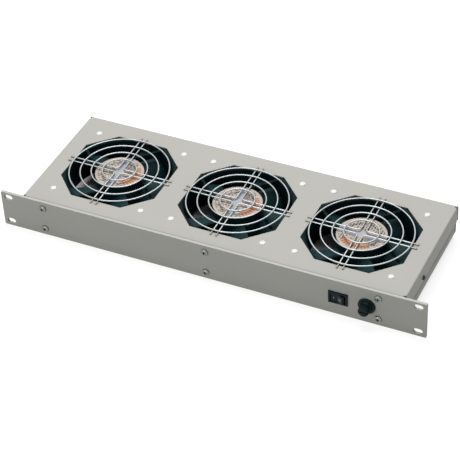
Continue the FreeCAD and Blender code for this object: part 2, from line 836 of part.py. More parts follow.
def impeller(label, place):
    """Twisted blades, each trimmed to a round sweep, on a moulded hub pressed on the rotor."""
    body = new_body(label, place)
    outer, sweep = ROTOR_RADIUS + S.hub_wall, FAN_BORE - S.tip_gap
    root = ROTOR_RADIUS + S.blade_root_gap
    sections = [blade_section(body, root, S.blade_root_angle, S.blade_height),
                blade_section(body, FAN_BORE + S.blade_overrun, S.blade_tip_angle, S.blade_height)]
    blade = body.newObject("PartDesign::AdditiveLoft", f"{label}_blade")
    blade.Profile = sections[0]
    blade.Sections = sections[1:]
    blade.Ruled = True
    trim = draw(body, "XZ")
    rectangle(trim, sweep, -S.fan_depth, S.fan_size, S.fan_depth)
    cut = revolve(body, trim, cutting=True)
    around(body, [blade, cut], BLADES)
    hub = draw(body, "XZ")
    outline(hub, [
        (ROTOR_RADIUS, -S.hub_top), (outer, -S.hub_top), (outer, S.hub_chamfer - S.hub_end),
        (outer - S.hub_chamfer, -S.hub_end), (ZERO, -S.hub_end), (ZERO, -S.rotor_end),
        (ROTOR_RADIUS, -S.rotor_end)])
    revolve(body, hub)
    parts.append(body)


def bent_wire(sketch, side, end, far, deep):
    """The plan of a wire that comes in along X, turns near the middle and goes out along Y.

    side and end are the signs of its quadrant, far and deep the reach of its two legs.
    """
    half, line = S.wire_size / 2, S.wire_pair / 2
    inner, outer, corner = line - half, line + half, line + S.wire_bend
    plan = [(far, inner), (far, outer), (corner, outer), (outer, corner), (outer, deep),
            (inner, deep), (inner, corner), (corner, inner)]
    turn = side * end
    outline(sketch, [(x * side, y * end) for x, y in plan],
            {2: -turn * (S.wire_bend - half), 6: turn * (S.wire_bend + half)})


def finger_guard(label, place):
    """Four wire rings welded over four bent wires, which lie on the plate.

    The wire is round, and is drawn here with four flat sides.
    """
    body = new_body(label, place)
    ring_low = S.wire_size - S.wire_sink

    def ring(index):
        profile = draw(body, "XZ")
        radius = S.ring_inner + index * S.ring_pitch
        centred(profile, radius, ring_low + S.wire_size / 2, S.wire_size, S.wire_size)
        revolve(body, profile)

    ring(0)
    far, deep = S.opening_across / 2 + S.wire_overhang, S.opening_deep / 2 + S.wire_overhang
    wires = draw(body, "XY")
    for side in (-1, 1):
        for end in (-1, 1):
            bent_wire(wires, side, end, far, deep)
    pad(body, wires, S.wire_size)
    for index in range(1, RINGS):
        ring(index)
    parts.append(body)


for name, across in zip(FANS, fan_places):
    place = (across, FAN_BACK, FAN_TOP)
    fan_frame(f"{name}_fan_frame", place)
    fan_label(f"{name}_fan_label", place)
    stator(f"{name}_stator", place)
    windings(f"{name}_windings", place)
    bearings(f"{name}_bearings", place)
    rotor(f"{name}_rotor", place)
    impeller(f"{name}_impeller", place)
    finger_guard(f"{name}_finger_guard", (across, FAN_BACK, TOP))


# ---- Fasteners --------------------------------------------------------------------------

FORWARD = Rotation(Vector(1, 0, 0), 90)
BACKWARD = Rotation(Vector(1, 0, 0), -90)
LEFTWARD = Rotation(Vector(0, 1, 0), -90)
RIGHTWARD = Rotation(Vector(0, 1, 0), 90)


# a pan head's crown, straight edge and cross recess, as shares of its width and its height
CROWN, EDGE = 0.34, 0.5
CROSS_ARM, CROSS_HALF, CROSS_DEEP = 0.27, 0.065, 0.62


def screw(label, shank, head, rise, length):
    """A pan-head screw with a cross recess, its seat at height 0 and its head up."""
    body = new_body(label)
    profile = draw(body, "XZ")
    outline(profile, [
        (ZERO, rise), (head * CROWN, rise), (head / 2, rise * EDGE), (head / 2, ZERO),
        (shank / 2, ZERO), (shank / 2, -length), (ZERO, -length)])
    revolve(body, profile)
    recess = draw(body, "XY", rise)
    arm, half = head * CROSS_ARM, head * CROSS_HALF
    outline(recess, [(half, -half), (arm, -half), (arm, half), (half, half), (half, arm),
                     (-half, arm), (-half, half), (-arm, half), (-arm, -half), (-half, -half),
                     (-half, -arm), (half, -arm)])
    pocket(body, recess, rise * CROSS_DEEP)
    return body


def nut(label, across_flats, bore, thick):
    """A hexagon nut or locknut that stands on height 0."""
    body = new_body(label)
    plan = draw(body, "XY")
    hexagon(plan, ZERO, ZERO, across_flats)
    circle(plan, ZERO, ZERO, bore)
    pad(body, plan, thick)
    return body


panel_screw = screw("panel_screw", S.panel_screw, S.panel_screw_head, S.panel_screw_rise,
                    S.panel_screw_length)
group("panel_screws", panel_screw, [(across, ZERO, up) for across, up in screw_places],
      [FORWARD] * len(screw_places))
flange_back = FRONT + S.sheet_thick
panel_nut = nut("panel_nut", S.panel_nut_across_flats, S.panel_screw + S.nut_play, S.panel_nut_thick)
group("panel_nuts", panel_nut, [(across, flange_back, up) for across, up in screw_places],
      [BACKWARD] * len(screw_places))

cover_screw = screw("cover_screw", S.cover_screw, S.cover_screw_head, S.cover_screw_rise,
                    S.cover_screw_length)
side_back = FRONT + S.side_screw_back
group("cover_screws", cover_screw,
      [(-CHASSIS_WIDTH / 2, side_back, SIDE_SCREW_UP),
       (CHASSIS_WIDTH / 2, side_back, SIDE_SCREW_UP),
       (-S.rear_screw_across, REAR, REAR_SCREW_UP), (S.rear_screw_across, REAR, REAR_SCREW_UP)],
      [LEFTWARD, RIGHTWARD, BACKWARD, BACKWARD])

# Moulded push rivets hold each fan's top flange under the cover.
rivet = new_body("fan_rivet")
profile = draw(rivet, "XZ")
rivet_radius = (S.fan_hole - S.rivet_play) / 2
rivet_low = -S.sheet_thick - S.fan_flange - S.rivet_end
outline(profile, [
    (ZERO, S.rivet_rise), (S.rivet_crown / 2, S.rivet_rise), (S.rivet_head / 2, ZERO),
    (rivet_radius, ZERO), (rivet_radius, rivet_low), (ZERO, rivet_low)])
revolve(rivet, profile)
group("fan_rivets", rivet, [(across, back, TOP) for across, back in rivet_places])


# ---- Rocker switch ----------------------------------------------------------------------

housing = new_body("switch_housing", (SWITCH_ACROSS, ZERO, ZERO))
bezel = draw(housing, "XZ")
centred(bezel, ZERO, ZERO, S.switch_long + 2 * S.bezel_lip, S.switch_high + 2 * S.bezel_lip)
pad(housing, bezel, S.bezel_thick)
dress(housing, "Chamfer", lambda e: near(e.BoundBox.YMin, -S.bezel_thick)
      and near(e.BoundBox.YMax, -S.bezel_thick), S.bezel_chamfer)
shell = draw(housing, "XZ")
centred(shell, ZERO, ZERO, S.switch_long, S.switch_high)
pad(housing, shell, S.switch_deep, backwards=True)
well_long = S.switch_long - 2 * S.switch_wall
well_high = S.switch_high - 2 * S.switch_wall
well = draw(housing, "XZ", S.bezel_thick)
centred(well, ZERO, ZERO, well_long, well_high)
pocket(housing, well, S.bezel_thick + S.switch_deep - S.switch_floor)
pin_reach = well_high / 2 + S.rocker_pin_seat
pin_hole = S.rocker_pin * 2 + S.pin_play
pin_holes = draw(housing, "XY", -pin_reach - S.pin_play)
circle(pin_holes, ZERO, S.pivot_back, pin_hole)
pocket(housing, pin_holes, (pin_reach + S.pin_play) * 2, backwards=True)
parts.append(housing)

# The rocker is see-saw shaped: two flats that meet in a shallow valley over the pivot, and
# round ends that turn about it. At rest its left end is pressed in.
rocker = new_body("switch_rocker")
put(rocker, (SWITCH_ACROSS, S.pivot_back, ZERO), Rotation(Vector(0, 0, 1), -S.rocker_tilt.number))
BELLY_ASIDE, BELLY_BACK = 0.45, 0.55  # the rocker's narrow underside, as shares of its swing
swing = well_long / 2 - S.rocker_gap
end_x, end_y = swing * cosine(S.rocker_end_angle), swing * sine(S.rocker_end_angle)
valley = end_y - end_x * sine(S.rocker_tilt) / cosine(S.rocker_tilt)
heel_x, heel_y = swing * cosine(S.rocker_heel_angle), swing * sine(S.rocker_heel_angle)
belly_x, belly_y = swing * BELLY_ASIDE, swing * BELLY_BACK
rocker_high = well_high - 2 * S.rocker_gap
side_view = draw(rocker, "XY", -rocker_high / 2)
outline(side_view, [(-end_x, -end_y), (ZERO, -valley), (end_x, -end_y), (heel_x, heel_y),
                    (belly_x, belly_y), (-belly_x, belly_y), (-heel_x, heel_y)],
        {2: swing, 6: swing})
pad(rocker, side_view, rocker_high)
pins = draw(rocker, "XY", -pin_reach)
circle(pins, ZERO, ZERO, S.rocker_pin * 2)
pad(rocker, pins, pin_reach * 2)
parts.append(rocker)

tab = new_body("switch_tab")
tab_plan = draw(tab, "XZ")
centred(tab_plan, ZERO, ZERO, S.tab_thick, S.tab_wide)
pad(tab, tab_plan, S.tab_long, backwards=True)
eye = draw(tab, "YZ", -S.tab_thick)
circle(eye, S.tab_long - S.tab_eye_inset, ZERO, S.tab_eye)
pocket(tab, eye, S.tab_thick * 2, backwards=True)
group("switch_terminals", tab, [(SWITCH_ACROSS + side * S.tab_spread / 2, S.switch_deep, ZERO)
                                for side in (-1, 1)])


# ---- Fuse holder ------------------------------------------------------------------------

# These pieces are turned about an upright axis with the panel's front face at height 0, then
# laid so that up becomes forward. The barrel is as long as the fuse and its contact need.
fuse_place = (FUSE_ACROSS, ZERO, ZERO)
link_back = S.link_front - S.link_length
holder_floor = link_back - S.contact_play - S.contact_thick
barrel_back = holder_floor - S.fuse_floor
flange_radius, collar_radius = S.fuse_flange / 2, S.fuse_collar / 2
holder = new_body("fuse_holder_body")
put(holder, fuse_place, FORWARD)
profile = draw(holder, "XZ")
outline(profile, [
    (ZERO, barrel_back), (S.fuse_barrel / 2, barrel_back), (S.fuse_barrel / 2, ZERO),
    (flange_radius, ZERO), (flange_radius, S.fuse_flange_thick - S.fuse_chamfer),
    (flange_radius - S.fuse_chamfer, S.fuse_flange_thick), (collar_radius, S.fuse_flange_thick),
    (collar_radius - S.fuse_chamfer, S.fuse_collar_rise), (S.fuse_bore / 2, S.fuse_collar_rise),
    (S.fuse_bore / 2, holder_floor), (ZERO, holder_floor)])
revolve(holder, profile)
parts.append(holder)

fuse_nut = nut("fuse_nut", S.fuse_nut_across_flats, S.fuse_barrel + S.locknut_play, S.fuse_nut_thick)
put(fuse_nut, (FUSE_ACROSS, flange_back + S.fuse_nut_thick, ZERO), FORWARD)
parts.append(fuse_nut)

carrier = new_body("fuse_carrier")
put(carrier, fuse_place, FORWARD)
carrier_bore = S.link_diameter / 2 + S.link_play
carrier_radius = S.fuse_bore / 2 - S.carrier_play
profile = draw(carrier, "XZ")
rectangle(profile, carrier_bore, S.fuse_collar_rise - S.carrier_length,
          carrier_radius - carrier_bore, S.carrier_length)
revolve(carrier, profile)
parts.append(carrier)

link = new_body("fuse_link")
put(link, fuse_place, FORWARD)
link_radius = S.link_diameter / 2
glass_radius = link_radius - S.link_step
profile = draw(link, "XZ")
outline(profile, [
    (ZERO, S.link_front), (link_radius, S.link_front), (link_radius, S.link_front - S.link_cap),
    (glass_radius, S.link_front - S.link_cap), (glass_radius, link_back + S.link_cap),
    (link_radius, link_back + S.link_cap), (link_radius, link_back), (ZERO, link_back)])
revolve(link, profile)
parts.append(link)

cap = new_body("fuse_cap")
put(cap, fuse_place, FORWARD)
cap_low = S.fuse_collar_rise + S.carrier_play
stem, stem_low = carrier_bore - S.carrier_play, S.link_front + S.cap_stop
profile = draw(cap, "XZ")
outline(profile, [
    (ZERO, stem_low), (stem, stem_low), (stem, cap_low), (S.cap_radius, cap_low),
    (S.cap_radius, S.cap_rise - S.fuse_chamfer), (S.cap_radius - S.fuse_chamfer, S.cap_rise),
    (ZERO, S.cap_rise)])
revolve(cap, profile)
driver_slot = draw(cap, "XY", S.cap_rise)
centred(driver_slot, ZERO, ZERO, S.cap_radius * 3, S.cap_slot)
pocket(cap, driver_slot, S.cap_slot_deep)
flutes = draw(cap, "XY", S.cap_rise)
circle(flutes, S.cap_radius + S.flute_size / 2 - S.flute_bite, ZERO, S.flute_size)
flute = pocket(cap, flutes, S.cap_rise - cap_low - S.cap_rim)
around(cap, [flute], FLUTES)
parts.append(cap)

contact = new_body("fuse_contact")
put(contact, fuse_place, FORWARD)
profile = draw(contact, "XZ")
rectangle(profile, ZERO, holder_floor, S.fuse_bore / 2 - S.contact_inset, S.contact_thick)
revolve(contact, profile)
parts.append(contact)

fuse_tab = new_body("fuse_tab")
tab_plan = draw(fuse_tab, "XZ")
centred(tab_plan, ZERO, ZERO, S.tab_wide, S.tab_thick)
pad(fuse_tab, tab_plan, S.fuse_tab_long, backwards=True)
group("fuse_terminals", fuse_tab, [
    (FUSE_ACROSS, -barrel_back, ZERO),
    (FUSE_ACROSS, -barrel_back - S.fuse_tab_long, S.fuse_barrel / 2 + S.tab_thick / 2)])


# ---- Cable entry, terminal block and earth stud -----------------------------------------

gland_place = (WIRING_ACROSS, TRAY_REAR, -S.gland_drop)
gland = new_body("cable_gland")
put(gland, gland_place, BACKWARD)
hex_plan = draw(gland, "XY")
hexagon(hex_plan, ZERO, ZERO, S.gland_across_flats)
pad(gland, hex_plan, S.gland_hex_thick)
thread = draw(gland, "XY", -S.sheet_thick - S.gland_inside)
circle(thread, ZERO, ZERO, S.gland_thread)
pad(gland, thread, S.sheet_thick + S.gland_inside)
through = draw(gland, "XY", S.gland_hex_thick)
circle(through, ZERO, ZERO, S.gland_bore)
pocket(gland, through, S.gland_hex_thick + S.sheet_thick + S.gland_inside)
parts.append(gland)

dome = new_body("gland_cap")
put(dome, gland_place, BACKWARD)
profile = draw(dome, "XZ")
dome_top = S.gland_hex_thick + S.gland_dome
dome_radius = S.gland_across_flats / 2 - S.dome_inset
outline(profile, [
    (S.gland_bore / 2, S.gland_hex_thick), (dome_radius, S.gland_hex_thick),
    (dome_radius, dome_top - S.dome_taper), (S.gland_bore / 2 + S.dome_lip, dome_top),
    (S.gland_bore / 2, dome_top)])
revolve(dome, profile)
parts.append(dome)

gland_nut = nut("gland_locknut", S.gland_across_flats, S.gland_thread + S.locknut_play,
                S.gland_nut_thick)
put(gland_nut, (WIRING_ACROSS, TRAY_REAR - S.sheet_thick, -S.gland_drop), FORWARD)
parts.append(gland_nut)

# The block stands on the tray floor between two fans: a stepped moulding with a brass sleeve
# for each pole, reached by a screw from above on either side.
block_long = BLOCK_POLES * S.block_pole + 2 * S.block_end
block_back = EARTH_BACK - S.block_to_earth - block_long
block = new_body("terminal_block", (WIRING_ACROSS, block_back, TRAY_FLOOR))
stepped = draw(block, "XZ")
outer, inner = S.block_wide / 2, S.block_wide / 2 - S.block_step_wide
outline(stepped, [(-outer, ZERO), (outer, ZERO), (outer, S.block_step), (inner, S.block_step),
                  (inner, S.block_high), (-inner, S.block_high), (-inner, S.block_step),
                  (-outer, S.block_step)])
pad(block, stepped, block_long, backwards=True)
pole_backs = [S.block_end + S.block_pole * (pole + 0.5) for pole in range(BLOCK_POLES)]
wells = draw(block, "YZ", -S.block_wide / 2)
for back in pole_backs:
    centred(wells, back, S.sleeve_up + S.sleeve_side / 2, S.sleeve_side, S.sleeve_side)
pocket(block, wells, S.block_wide, backwards=True)
clamp_aside = inner - S.clamp_inset
funnels = draw(block, "XY", S.block_high)
for back in pole_backs:
    for side in (-1, 1):
        circle(funnels, side * clamp_aside, back, S.clamp_well)
pocket(block, funnels, S.block_high - S.sleeve_up - S.sleeve_side)
parts.append(block)

sleeve = new_body("terminal_sleeve")
bar = draw(sleeve, "YZ", -inner)
bar_side = S.sleeve_side - S.sleeve_play
centred(bar, ZERO, ZERO, bar_side, bar_side)
circle(bar, ZERO, ZERO, S.sleeve_bore)
pad(sleeve, bar, inner * 2)
bar_up = TRAY_FLOOR + S.sleeve_up + S.sleeve_side / 2
group("terminal_sleeves", sleeve, [(WIRING_ACROSS, block_back + back, bar_up) for back in pole_backs])

clamp = new_body("clamp_screw")
shank = draw(clamp, "XY")
circle(shank, ZERO, ZERO, S.clamp_screw)
pad(clamp, shank, S.clamp_length)
blade_slot = draw(clamp, "XY", S.clamp_length)
centred(blade_slot, ZERO, ZERO, S.clamp_screw * 2, S.clamp_slot)
pocket(clamp, blade_slot, S.clamp_slot_deep)
group("terminal_screws", clamp, [
    (WIRING_ACROSS + side * clamp_aside, block_back + back, bar_up + bar_side / 2)
    for back in pole_backs for side in (-1, 1)])

earth = new_body("earth_stud", (WIRING_ACROSS, EARTH_BACK, TRAY_BOTTOM))
profile = draw(earth, "XZ")
stud_radius = S.earth_stud / 2
outline(profile, [
    (ZERO, -S.earth_head_thick), (S.earth_head / 2, -S.earth_head_thick), (S.earth_head / 2, ZERO),
    (stud_radius, ZERO), (stud_radius, S.earth_length - S.earth_point),
    (stud_radius - S.earth_point, S.earth_length), (ZERO, S.earth_length)])
revolve(earth, profile)
parts.append(earth)
earth_nut = nut("earth_nut", S.earth_nut_across_flats, S.earth_stud + S.nut_play, S.earth_nut_thick)
put(earth_nut, (WIRING_ACROSS, EARTH_BACK, TRAY_FLOOR))
parts.append(earth_nut)


# ---- Check and write --------------------------------------------------------------------

doc.recompute()
for thing in doc.Objects:
    if "Invalid" in thing.State or "Error" in thing.State:
        raise RuntimeError(f"{thing.Label} failed: {thing.State}")
for part in parts:
    if part.Shape.isNull() or not part.Shape.isValid():
        raise RuntimeError(f"{part.Label} has no valid shape")
for part in parts:
    part.Shape.exportStep(f"parts/{part.Label}.step")
    print(part.Label, len(part.Shape.Solids), round(part.Shape.Volume, 1))
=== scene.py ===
import math

import bmesh
import bpy
import numpy as np
from mathutils import Matrix, Vector


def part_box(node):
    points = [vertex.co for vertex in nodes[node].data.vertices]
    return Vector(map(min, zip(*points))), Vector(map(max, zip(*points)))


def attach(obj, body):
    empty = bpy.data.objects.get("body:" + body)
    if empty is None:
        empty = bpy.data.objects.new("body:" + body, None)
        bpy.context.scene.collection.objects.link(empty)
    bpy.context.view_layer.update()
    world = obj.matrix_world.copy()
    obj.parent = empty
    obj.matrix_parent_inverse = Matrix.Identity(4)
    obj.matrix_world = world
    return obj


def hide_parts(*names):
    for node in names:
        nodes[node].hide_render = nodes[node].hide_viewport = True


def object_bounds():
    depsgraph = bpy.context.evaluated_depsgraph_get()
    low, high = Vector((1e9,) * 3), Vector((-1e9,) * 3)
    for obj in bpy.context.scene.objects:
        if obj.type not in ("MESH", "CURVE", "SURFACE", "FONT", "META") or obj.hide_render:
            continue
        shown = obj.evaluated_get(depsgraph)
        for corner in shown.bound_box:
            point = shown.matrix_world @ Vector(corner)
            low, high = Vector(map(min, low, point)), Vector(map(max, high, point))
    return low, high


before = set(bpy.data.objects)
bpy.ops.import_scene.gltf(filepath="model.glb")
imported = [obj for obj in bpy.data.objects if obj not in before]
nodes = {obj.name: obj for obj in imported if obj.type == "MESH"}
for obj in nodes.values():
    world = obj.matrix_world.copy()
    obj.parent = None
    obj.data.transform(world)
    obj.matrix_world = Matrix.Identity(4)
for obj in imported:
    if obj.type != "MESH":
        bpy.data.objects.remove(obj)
cad_low, cad_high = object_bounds()


# ---- Studio -----------------------------------------------------------------------------
# The tray stands on a pale floor under one broad lamp above and behind it, with a weak lamp
# in front. Both are soft, so edges of shadow are wide and the paint shows its own grey. The
# floor's own lift stops under the tray, which is painted shade there, so that the fans look
# down into shadow.

MM = 0.001
SKY_LEVEL, FLOOR_LIFT = 0.2, 0.82
FLOOR_REACH, FLOOR_GAP, SHADE_RUN = 12.0, 0.1 * MM, 25 * MM


def linear(colour, level=1.0):
    """An sRGB hex colour as linear light, times a level.

    Each part c becomes ((c + 0.055) / 1.055) to the power 2.4, or c / 12.92 up to 0.04045.
    """
    parts = [int(colour[place:place + 2], 16) / 255 for place in (1, 3, 5)]
    light = [((part + 0.055) / 1.055) ** 2.4 if part > 0.04045 else part / 12.92 for part in parts]
    return (*[level * part for part in light], 1.0)


def add(tree, kind, settings=None, inputs=None):
    """One node with its settings. An input is a value, an output, or a node's first output."""
    node = tree.nodes.new(kind)
    for name, value in (settings or {}).items():
        setattr(node, name, value)
    for name, value in (inputs or {}).items():
        if isinstance(value, bpy.types.Node):
            value = value.outputs[0]
        if isinstance(value, bpy.types.NodeSocket):
            tree.links.new(value, node.inputs[name])
        else:
            node.inputs[name].default_value = value
    return node


def new_material(name):
    """An empty material; gives back the material, its tree and its Object coordinates."""
    material = bpy.data.materials.new(name)
    material.use_nodes = True
    tree = material.node_tree
    tree.nodes.clear()
    return material, tree, add(tree, "ShaderNodeTexCoord").outputs["Object"]


def seen_directly(tree):
    """1 for rays from the camera, from gloss and through glass, and 0 for the rest."""
    path = add(tree, "ShaderNodeLightPath")
    either = add(tree, "ShaderNodeMath", {"operation": "MAXIMUM"},
                 {0: path.outputs["Is Camera Ray"], 1: path.outputs["Is Glossy Ray"]})
    return add(tree, "ShaderNodeMath", {"operation": "MAXIMUM"},
               {0: either, 1: path.outputs["Is Transmission Ray"]})


WHITE = linear("#FFFFFF")
world = bpy.data.worlds.new("studio_room")
bpy.context.scene.world = world
world.use_nodes = True
tree = world.node_tree
tree.nodes.clear()
level = add(tree, "ShaderNodeMapRange", {}, {"Value": seen_directly(tree), "To Min": SKY_LEVEL})
sky = add(tree, "ShaderNodeBackground", {}, {"Color": WHITE, "Strength": level})
add(tree, "ShaderNodeOutputWorld", {}, {"Surface": sky})

# matt paper: no gloss, and a white lift that only direct rays see, outside the tray's outline; its fading
# out inside the outline is painted shade
under_low, under_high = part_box("lower_tray")
under_middle, under_half = (under_low + under_high) / 2, (under_high - under_low) / 2
floor_paper, tree, place = new_material("matt_paper_backdrop")
paper = add(tree, "ShaderNodeBsdfDiffuse", {}, {"Color": linear("#A8A8A7")})
apart = add(tree, "ShaderNodeVectorMath", {"operation": "SUBTRACT"}, {0: place, 1: under_middle})
apart = add(tree, "ShaderNodeVectorMath", {"operation": "ABSOLUTE"}, {0: apart})
apart = add(tree, "ShaderNodeVectorMath", {"operation": "SUBTRACT"}, {0: apart, 1: under_half})
parts = add(tree, "ShaderNodeSeparateXYZ", {}, {0: apart})
beyond = add(tree, "ShaderNodeMath", {"operation": "MAXIMUM"}, {0: parts.outputs[0], 1: parts.outputs[1]})
# painted shade: the lift fades to nothing over 25 mm inside the tray's outline
open_floor = add(tree, "ShaderNodeMapRange", {}, {"Value": beyond, "From Min": -SHADE_RUN,
                                                  "From Max": 0.0, "To Max": FLOOR_LIFT})
lift = add(tree, "ShaderNodeMath", {"operation": "MULTIPLY"}, {0: seen_directly(tree), 1: open_floor})
glow = add(tree, "ShaderNodeEmission", {}, {"Color": WHITE, "Strength": lift})
both = add(tree, "ShaderNodeAddShader", {}, {0: paper, 1: glow})
add(tree, "ShaderNodeOutputMaterial", {}, {"Surface": both})

floor_mesh = bpy.data.meshes.new("floor")
floor_mesh.from_pydata([(side * FLOOR_REACH, end * FLOOR_REACH, cad_low.z - FLOOR_GAP)
                        for side, end in ((-1, -1), (1, -1), (1, 1), (-1, 1))], [], [(0, 1, 2, 3)])
floor_mesh.materials.append(floor_paper)
floor = bpy.data.objects.new("floor", floor_mesh)
bpy.context.scene.collection.objects.link(floor)


def lamp(name, place, aim, size, watts):
    """A square soft lamp at a place, turned towards another."""
    light = bpy.data.lights.new(name, "AREA")
    light.shape = "SQUARE"
    light.size = size
    light.energy = watts
    holder = bpy.data.objects.new(name, light)
    holder.location = place
    holder.rotation_euler = (Vector(place) - Vector(aim)).to_track_quat("Z", "Y").to_euler()
    bpy.context.scene.collection.objects.link(holder)


lamp("overhead_lamp", place=(-0.25, 0.7, 1.95), aim=(0, 0.08, 0), size=1.3, watts=31.6)
lamp("front_lamp", place=(-0.5, -1.9, 0.75), aim=(0, 0.05, 0), size=1.0, watts=11.5)

# The camera stands about two metres off, looking down forty degrees over the right front
# corner, and leans a little to its right.
CAMERA_TURN, CAMERA_RISE, CAMERA_LEAN = math.radians(26.94), math.radians(39.59), math.radians(-3.26)
CAMERA_AWAY, CAMERA_ASIDE, CAMERA_DOWN = 1.9115, -12.3 * MM, -20.6 * MM
LOOKED_AT = Vector((0, 90 * MM, 0.2 * MM))
FOCAL_LENGTH, SENSOR, FAR_LIMIT = 140.6, 36.0, 50

back = Vector((math.sin(CAMERA_TURN) * math.cos(CAMERA_RISE),
               -math.cos(CAMERA_TURN) * math.cos(CAMERA_RISE), math.sin(CAMERA_RISE)))
level_right = Vector((0, 0, 1)).cross(back).normalized()
level_up = back.cross(level_right)
right = level_right * math.cos(CAMERA_LEAN) + level_up * math.sin(CAMERA_LEAN)
up = level_up * math.cos(CAMERA_LEAN) - level_right * math.sin(CAMERA_LEAN)
stand = LOOKED_AT + back * CAMERA_AWAY + right * CAMERA_ASIDE + up * CAMERA_DOWN
lens = bpy.data.cameras.new("camera")
lens.lens = FOCAL_LENGTH
lens.sensor_width = SENSOR
lens.clip_end = FAR_LIMIT
camera = bpy.data.objects.new("camera", lens)
camera.matrix_world = Matrix.Translation(stand) @ Matrix((right, up, back)).transposed().to_4x4()
bpy.context.scene.collection.objects.link(camera)
bpy.context.scene.camera = camera
bpy.context.scene.view_settings.view_transform = "Standard"


# ---- Housing ----------------------------------------------------------------------------
# The cover and the tray are 1.2 mm steel sheet, punched, folded and powder coated in a warm
# light grey, the tray's written a little darker as painted shade. The front panel is 3 mm
# steel in a slightly greener shade of the same coat, also a little darker as painted shade.

fan_names = ("left", "middle", "right")
fan_boxes = [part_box(f"{name}_fan_frame") for name in fan_names]
fan_centres = [(low + high) / 2 for low, high in fan_boxes]
fan_pitch = fan_centres[1].x - fan_centres[0].x
fan_back = fan_centres[1].y
cover_low, cover_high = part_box("top_cover")
plate_top = cover_high.z
guard_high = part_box("middle_finger_guard")[1]
WIRE, WIRE_PAIR_HALF, WELD_INSET = 1.6 * MM, 3.15 * MM, 2 * MM
PEEL, CLOUD, COAT_EDGE = 1.6 * MM, 60 * MM, 0.5 * MM
# cosines at which an edge starts to take its painted highlight, and takes it fully
EDGE_LEAN = (0.98, 0.8)
PANEL_SHADE_RUN, HOLE_RADIUS, SHEET = 4.6 * MM, 1.6 * MM, 1.2 * MM
HOLE_SHADE_SPAN = (HOLE_RADIUS + 0.3 * MM, HOLE_RADIUS + 1.0 * MM)
BURN_SPAN, BURN_RAGGED = (2.2 * MM, 5.0 * MM), 2.5 * MM
CREST_SPAN = (-0.5 * MM, -0.1 * MM)
corner_hole = (-cover_low.x - SHEET, cover_low.y + SHEET + HOLE_RADIUS, 0)


def finished(material, values):
    """Ends a material in one Principled shader with these inputs."""
    tree = material.node_tree
    shader = add(tree, "ShaderNodeBsdfPrincipled", {}, values)
    add(tree, "ShaderNodeOutputMaterial", {}, {"Surface": shader})
    return material


def wear(names, material):
    """Gives the named CAD nodes this material in all their slots."""
    for name in names:
        node = nodes[name]
        if not node.data.materials:
            node.data.materials.append(material)
        for slot in node.material_slots:
            slot.material = material


def overlay(tree, ground, tint, reading, span=(0.0, 1.0), cover=(0.0, 1.0)):
    """A ground colour under a tint, whose cover goes from first to last over a span of readings."""
    amount = add(tree, "ShaderNodeMapRange", {}, {"Value": reading, "From Min": span[0], "From Max": span[1],
                                                  "To Min": cover[0], "To Max": cover[1]})
    laid = add(tree, "ShaderNodeMix", {"data_type": "RGBA"}, {"Factor": amount, 6: ground, 7: tint})
    return laid.outputs[2]


def edge_lean(tree, soft):
    """The cosine between the rounded normal and the true one: 1 on flats and less on edges."""
    true = add(tree, "ShaderNodeNewGeometry").outputs["True Normal"]
    lean = add(tree, "ShaderNodeVectorMath", {"operation": "DOT_PRODUCT"}, {0: soft, 1: true})
    return lean.outputs["Value"]


def from_weld(tree, place):
    """Distance to the nearest end of a guard wire, by folding the guards into one quarter."""
    parts = add(tree, "ShaderNodeSeparateXYZ", {}, {0: place})
    across = add(tree, "ShaderNodeMath", {"operation": "PINGPONG"}, {0: parts.outputs[0], 1: fan_pitch / 2})
    along = add(tree, "ShaderNodeMath", {"operation": "SUBTRACT"}, {0: parts.outputs[1], 1: fan_back})
    along = add(tree, "ShaderNodeMath", {"operation": "ABSOLUTE"}, {0: along})
    folded = add(tree, "ShaderNodeCombineXYZ", {}, {0: across, 1: along})
    end_across = guard_high.x - fan_centres[1].x - WELD_INSET
    end_along = guard_high.y - fan_back - WELD_INSET
    gaps = [add(tree, "ShaderNodeVectorMath", {"operation": "DISTANCE"}, {0: folded, 1: end})
            for end in ((end_across, WIRE_PAIR_HALF, 0), (WIRE_PAIR_HALF, end_along, 0))]
    return add(tree, "ShaderNodeMath", {"operation": "MINIMUM"},
               {0: gaps[0].outputs["Value"], 1: gaps[1].outputs["Value"]})


